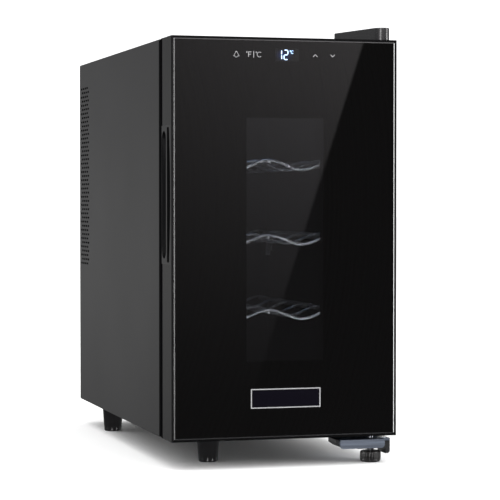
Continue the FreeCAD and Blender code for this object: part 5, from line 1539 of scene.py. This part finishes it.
@dataclass
class Studio:
    """Camera, floor, lights and the card that the glass reflects.

    Attributes:
        eye: Where the camera stands.
        heading: How far it looks to the right of +Y, in degrees.
        pitch: How far it looks down, in degrees.
        lens: Focal length in millimetres.
        sky: Brightness of the surroundings.
        gloss_sky: Brightness of the surroundings as glossy faces show them.
        strips: Angle from straight ahead and power of the strips on the left and on the right.
        strip_size: Width and height of those strips.
        strip_distance: How far they stand from the door.
        overhead_power: Power of the light above.
        overhead_size: Side of the light above.
        cabin_power: Power of the short strip before each shelf.
        cabin_size: Width and height of that short strip.
        lamp_power: Power of the blue lamp in the cabin.
        card_distance: How far the card stands before the glass.
        card_glow: How bright the card is at its brightest, over its base.
        card_base: How bright the card is at its darkest.
        card_edge: Half the width over which its slanted edge fades.
    """

    eye: Point = (-0.6271, -2.3071, 0.2869)
    heading: float = 15.926
    pitch: float = 1.41
    lens: float = 144.52
    sky: float = 1.35
    gloss_sky: float = 0.36
    strips: tuple[tuple[str, float, float], ...] = (("left_strip", -28.0, 20.0), ("right_strip", 60.0, 32.0))
    strip_size: Spot = (0.45, 2.2)
    strip_distance: float = 2.4
    overhead_power: float = 40.0
    overhead_size: float = 2.6
    cabin_power: float = 0.035
    cabin_size: Spot = (0.13, 0.004)
    lamp_power: float = 0.02
    card_distance: float = 2.95
    card_glow: float = 0.5
    card_base: float = 0.12
    card_edge: float = 0.004

    def build(self) -> None:
        """Set up the whole studio."""
        self.camera()
        self.surroundings()
        self.floor()
        self.lights()
        self.card()

    def camera(self) -> None:
        """Stand the camera and make it the scene's own."""
        data = bpy.data.cameras.new("camera")
        data.lens = self.lens
        data.sensor_width = 36.0
        data.clip_start = 0.05
        item = bpy.data.objects.new("camera", data)
        item.location = self.eye
        item.rotation_euler = (math.radians(90.0 - self.pitch), 0.0, -math.radians(self.heading))
        bpy.context.scene.collection.objects.link(item)
        bpy.context.scene.camera = item

    def surroundings(self) -> None:
        """Surround the scene: white to the camera and on matt faces, dimmer and graded on glossy ones."""
        world = bpy.data.worlds.new("white_room")
        world.use_nodes = True
        kit = Wiring(world.node_tree)
        nodes = world.node_tree.nodes
        kit.preset(nodes["Background"], {"Color": WHITE, "Strength": self.sky})
        dim = kit.add("Background", {"Strength": self.gloss_sky})
        split = kit.add("SeparateXYZ")
        kit.join(kit.add("TexCoord").outputs["Generated"], split.inputs[0])
        ramp = kit.add("ValToRGB")
        stops = ramp.color_ramp.elements
        stops[0].position, stops[0].color = 0.40, (0.3, 0.3, 0.31, 1.0)
        stops[1].position, stops[1].color = 0.60, (0.55, 0.55, 0.57, 1.0)
        stops.new(0.48).color = WHITE
        kit.join(kit.mapped(split.outputs["Z"], (-1.0, 1.0)), ramp.inputs["Fac"])
        kit.join(ramp.outputs["Color"], dim.inputs["Color"])
        path = kit.add("LightPath")
        both = kit.add("MixShader")
        plain = kit.maths("MAXIMUM", path.outputs["Is Camera Ray"], path.outputs["Is Diffuse Ray"])
        kit.join(plain, both.inputs["Fac"])
        kit.join(dim.outputs[0], both.inputs[1])
        kit.join(nodes["Background"].outputs[0], both.inputs[2])
        kit.join(both.outputs[0], nodes["World Output"].inputs["Surface"])
        bpy.context.scene.world = world
        bpy.context.scene.view_settings.view_transform = "Standard"

    def floor(self) -> None:
        """Lay a plain pale floor, which glossy and clear faces do not show."""
        form = bmesh.new()
        bmesh.ops.create_grid(form, x_segments=1, y_segments=1, size=30.0)
        pale = Finish("pale_floor", (0.95, 0.95, 0.95), 0.9, grain=0.0, mottle=0.01, dust=0.0, specular=0.0)
        self.stand("floor", form, pale.material(), ("glossy", "transmission"))

    def stand(self, name: str, form: bmesh.types.BMesh, finish: bpy.types.Material, hidden: Sequence[str]
              ) -> None:
        """Stand a mesh in the studio.

        Args:
            name: What it is called.
            form: Its mesh, in metres, which is freed.
            finish: Its material.
            hidden: Kinds of ray that do not meet it.
        """
        mesh = bpy.data.meshes.new(name)
        form.to_mesh(mesh)
        form.free()
        mesh.materials.append(finish)
        item = bpy.data.objects.new(name, mesh)
        for kind in hidden:
            setattr(item, f"visible_{kind}", False)
        bpy.context.scene.collection.objects.link(item)

    def lights(self) -> None:
        """Hang a light above, strips on the left and right, a lamp in the cabin and a strip at each shelf."""
        self.area("overhead", (0.0, -0.3, 2.6), (0.0, 0.0, 0.2), self.overhead_size, self.overhead_power)
        for name, turn, power in self.strips:
            way = Vector((math.sin(math.radians(turn)), -math.cos(math.radians(turn)), 0.0))
            strip = self.area(name, way * self.strip_distance + Vector((0.1, -0.24, 0.75)), (0.1, -0.24, 0.4),
                              self.strip_size[0], power)
            strip.data.shape = "RECTANGLE"
            strip.data.size_y = self.strip_size[1]
        low, high = [Vector(corner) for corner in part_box("led_lens")]
        lamp = self.area("cabin_lamp", ((low.x + high.x) / 2, (low.y + high.y) / 2, low.z - 0.002),
                         ((low.x + high.x) / 2, high.y + 0.03, 0.0), 0.05, self.lamp_power)
        lamp.data.color = (0.45, 0.62, 1.0)
        for level in LEVELS:
            low, high = [Vector(corner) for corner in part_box(f"{level}_shelf")]
            height = (low.z + high.z) / 2
            strip = self.area(f"{level}_shelf_strip", (0.0, low.y - 0.011, height - 0.006),
                              (0.0, low.y + 0.004, height), self.cabin_size[0], self.cabin_power)
            strip.data.shape = "RECTANGLE"
            strip.data.size_y = self.cabin_size[1]
            strip.visible_transmission = False
            strip.visible_glossy = False

    def area(self, name: str, place: Point, target: Point, size: float, power: float) -> bpy.types.Object:
        """Hang a square light and aim it.

        Args:
            name: Name of the light.
            place: Where it hangs.
            target: What it faces.
            size: Side of its square in metres.
            power: Its power in watts.

        Returns:
            The light's object.
        """
        data = bpy.data.lights.new(name, "AREA")
        data.size = size
        data.energy = power
        item = bpy.data.objects.new(name, data)
        item.location = place
        way = Vector(target) - Vector(place)
        item.rotation_euler = way.to_track_quat("-Z", "Y").to_euler()
        item.visible_camera = False
        bpy.context.scene.collection.objects.link(item)
        return item

    def card(self) -> None:
        """Stand the tall card whose slanted edge shows in the glass."""
        low, high = [Vector(corner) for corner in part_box("door_glass")]
        glass = low.y
        mirror = Vector((self.eye[0], 2 * glass - self.eye[1], self.eye[2]))
        grow = (mirror.y - (glass - self.card_distance)) / (mirror.y - glass)

        def seen(x: float, z: float) -> Vector:
            """Return the card's point that is seen at a point of the glass."""
            return Vector((mirror.x + (x - mirror.x) * grow, glass - self.card_distance,
                           mirror.z + (z - mirror.z) * grow))

        data = bpy.data.materials.new("studio_card")
        data.use_nodes = True
        kit = Wiring(data.node_tree)
        nodes = data.node_tree.nodes
        nodes.remove(nodes["Principled BSDF"])
        glow = kit.add("Emission", {"Color": (1.0, 0.955, 0.975, 1.0)})
        kit.join(glow.outputs[0], nodes["Material Output"].inputs["Surface"])
        place = kit.add("TexCoord").outputs["Object"]
        top, foot = seen(0.087, 0.4565), seen(-0.025, 0.1145)
        across = Vector((top.z - foot.z, 0.0, foot.x - top.x)).normalized()
        edge = kit.add("VectorMath", {1: across}, operation="DOT_PRODUCT")
        kit.join(place, edge.inputs[0])
        line = top.dot(across)
        side = kit.mapped(edge.outputs["Value"], (line - self.card_edge, line + self.card_edge), (1.0, 0.0))
        split = kit.add("SeparateXYZ")
        kit.join(place, split.inputs[0])
        fall = kit.mapped(split.outputs["Z"], (seen(0.0, low.z).z, seen(0.0, high.z).z), (0.02, 1.0))
        wide = kit.mapped(split.outputs["X"], (seen(low.x, 0.0).x, seen(0.6 * high.x, 0.0).x), (0.85, 1.45))
        bright = kit.maths("MULTIPLY", kit.maths("MULTIPLY", side, wide), kit.maths("POWER", fall, 1.8))
        power = kit.add("Math", {1: self.card_glow, 2: self.card_base}, operation="MULTIPLY_ADD")
        kit.join(bright, power.inputs[0])
        kit.join(power.outputs[0], glow.inputs["Strength"])
        form = bmesh.new()
        y = glass - self.card_distance
        form.faces.new([form.verts.new(point) for point in
                        ((-4.0, y, -3.0), (5.0, y, -3.0), (5.0, y, 4.0), (-4.0, y, 4.0))])
        self.stand("studio_card", form, data, ("camera", "diffuse", "volume_scatter", "shadow"))


def main() -> None:
    """Build the wine cooler's looks and its studio."""
    logging.basicConfig(level=logging.INFO, format="%(message)s")
    Studio().build()
    dress_frame()
    for part in (GlassEdge(), Badge(), Controls(), Grip(), UpperHinge(), LowerHinge(), Feet(), Shelves(),
                 Seal(), RearScrews(), Inlet()):
        part.build()


if __name__ == "__main__":
    main()
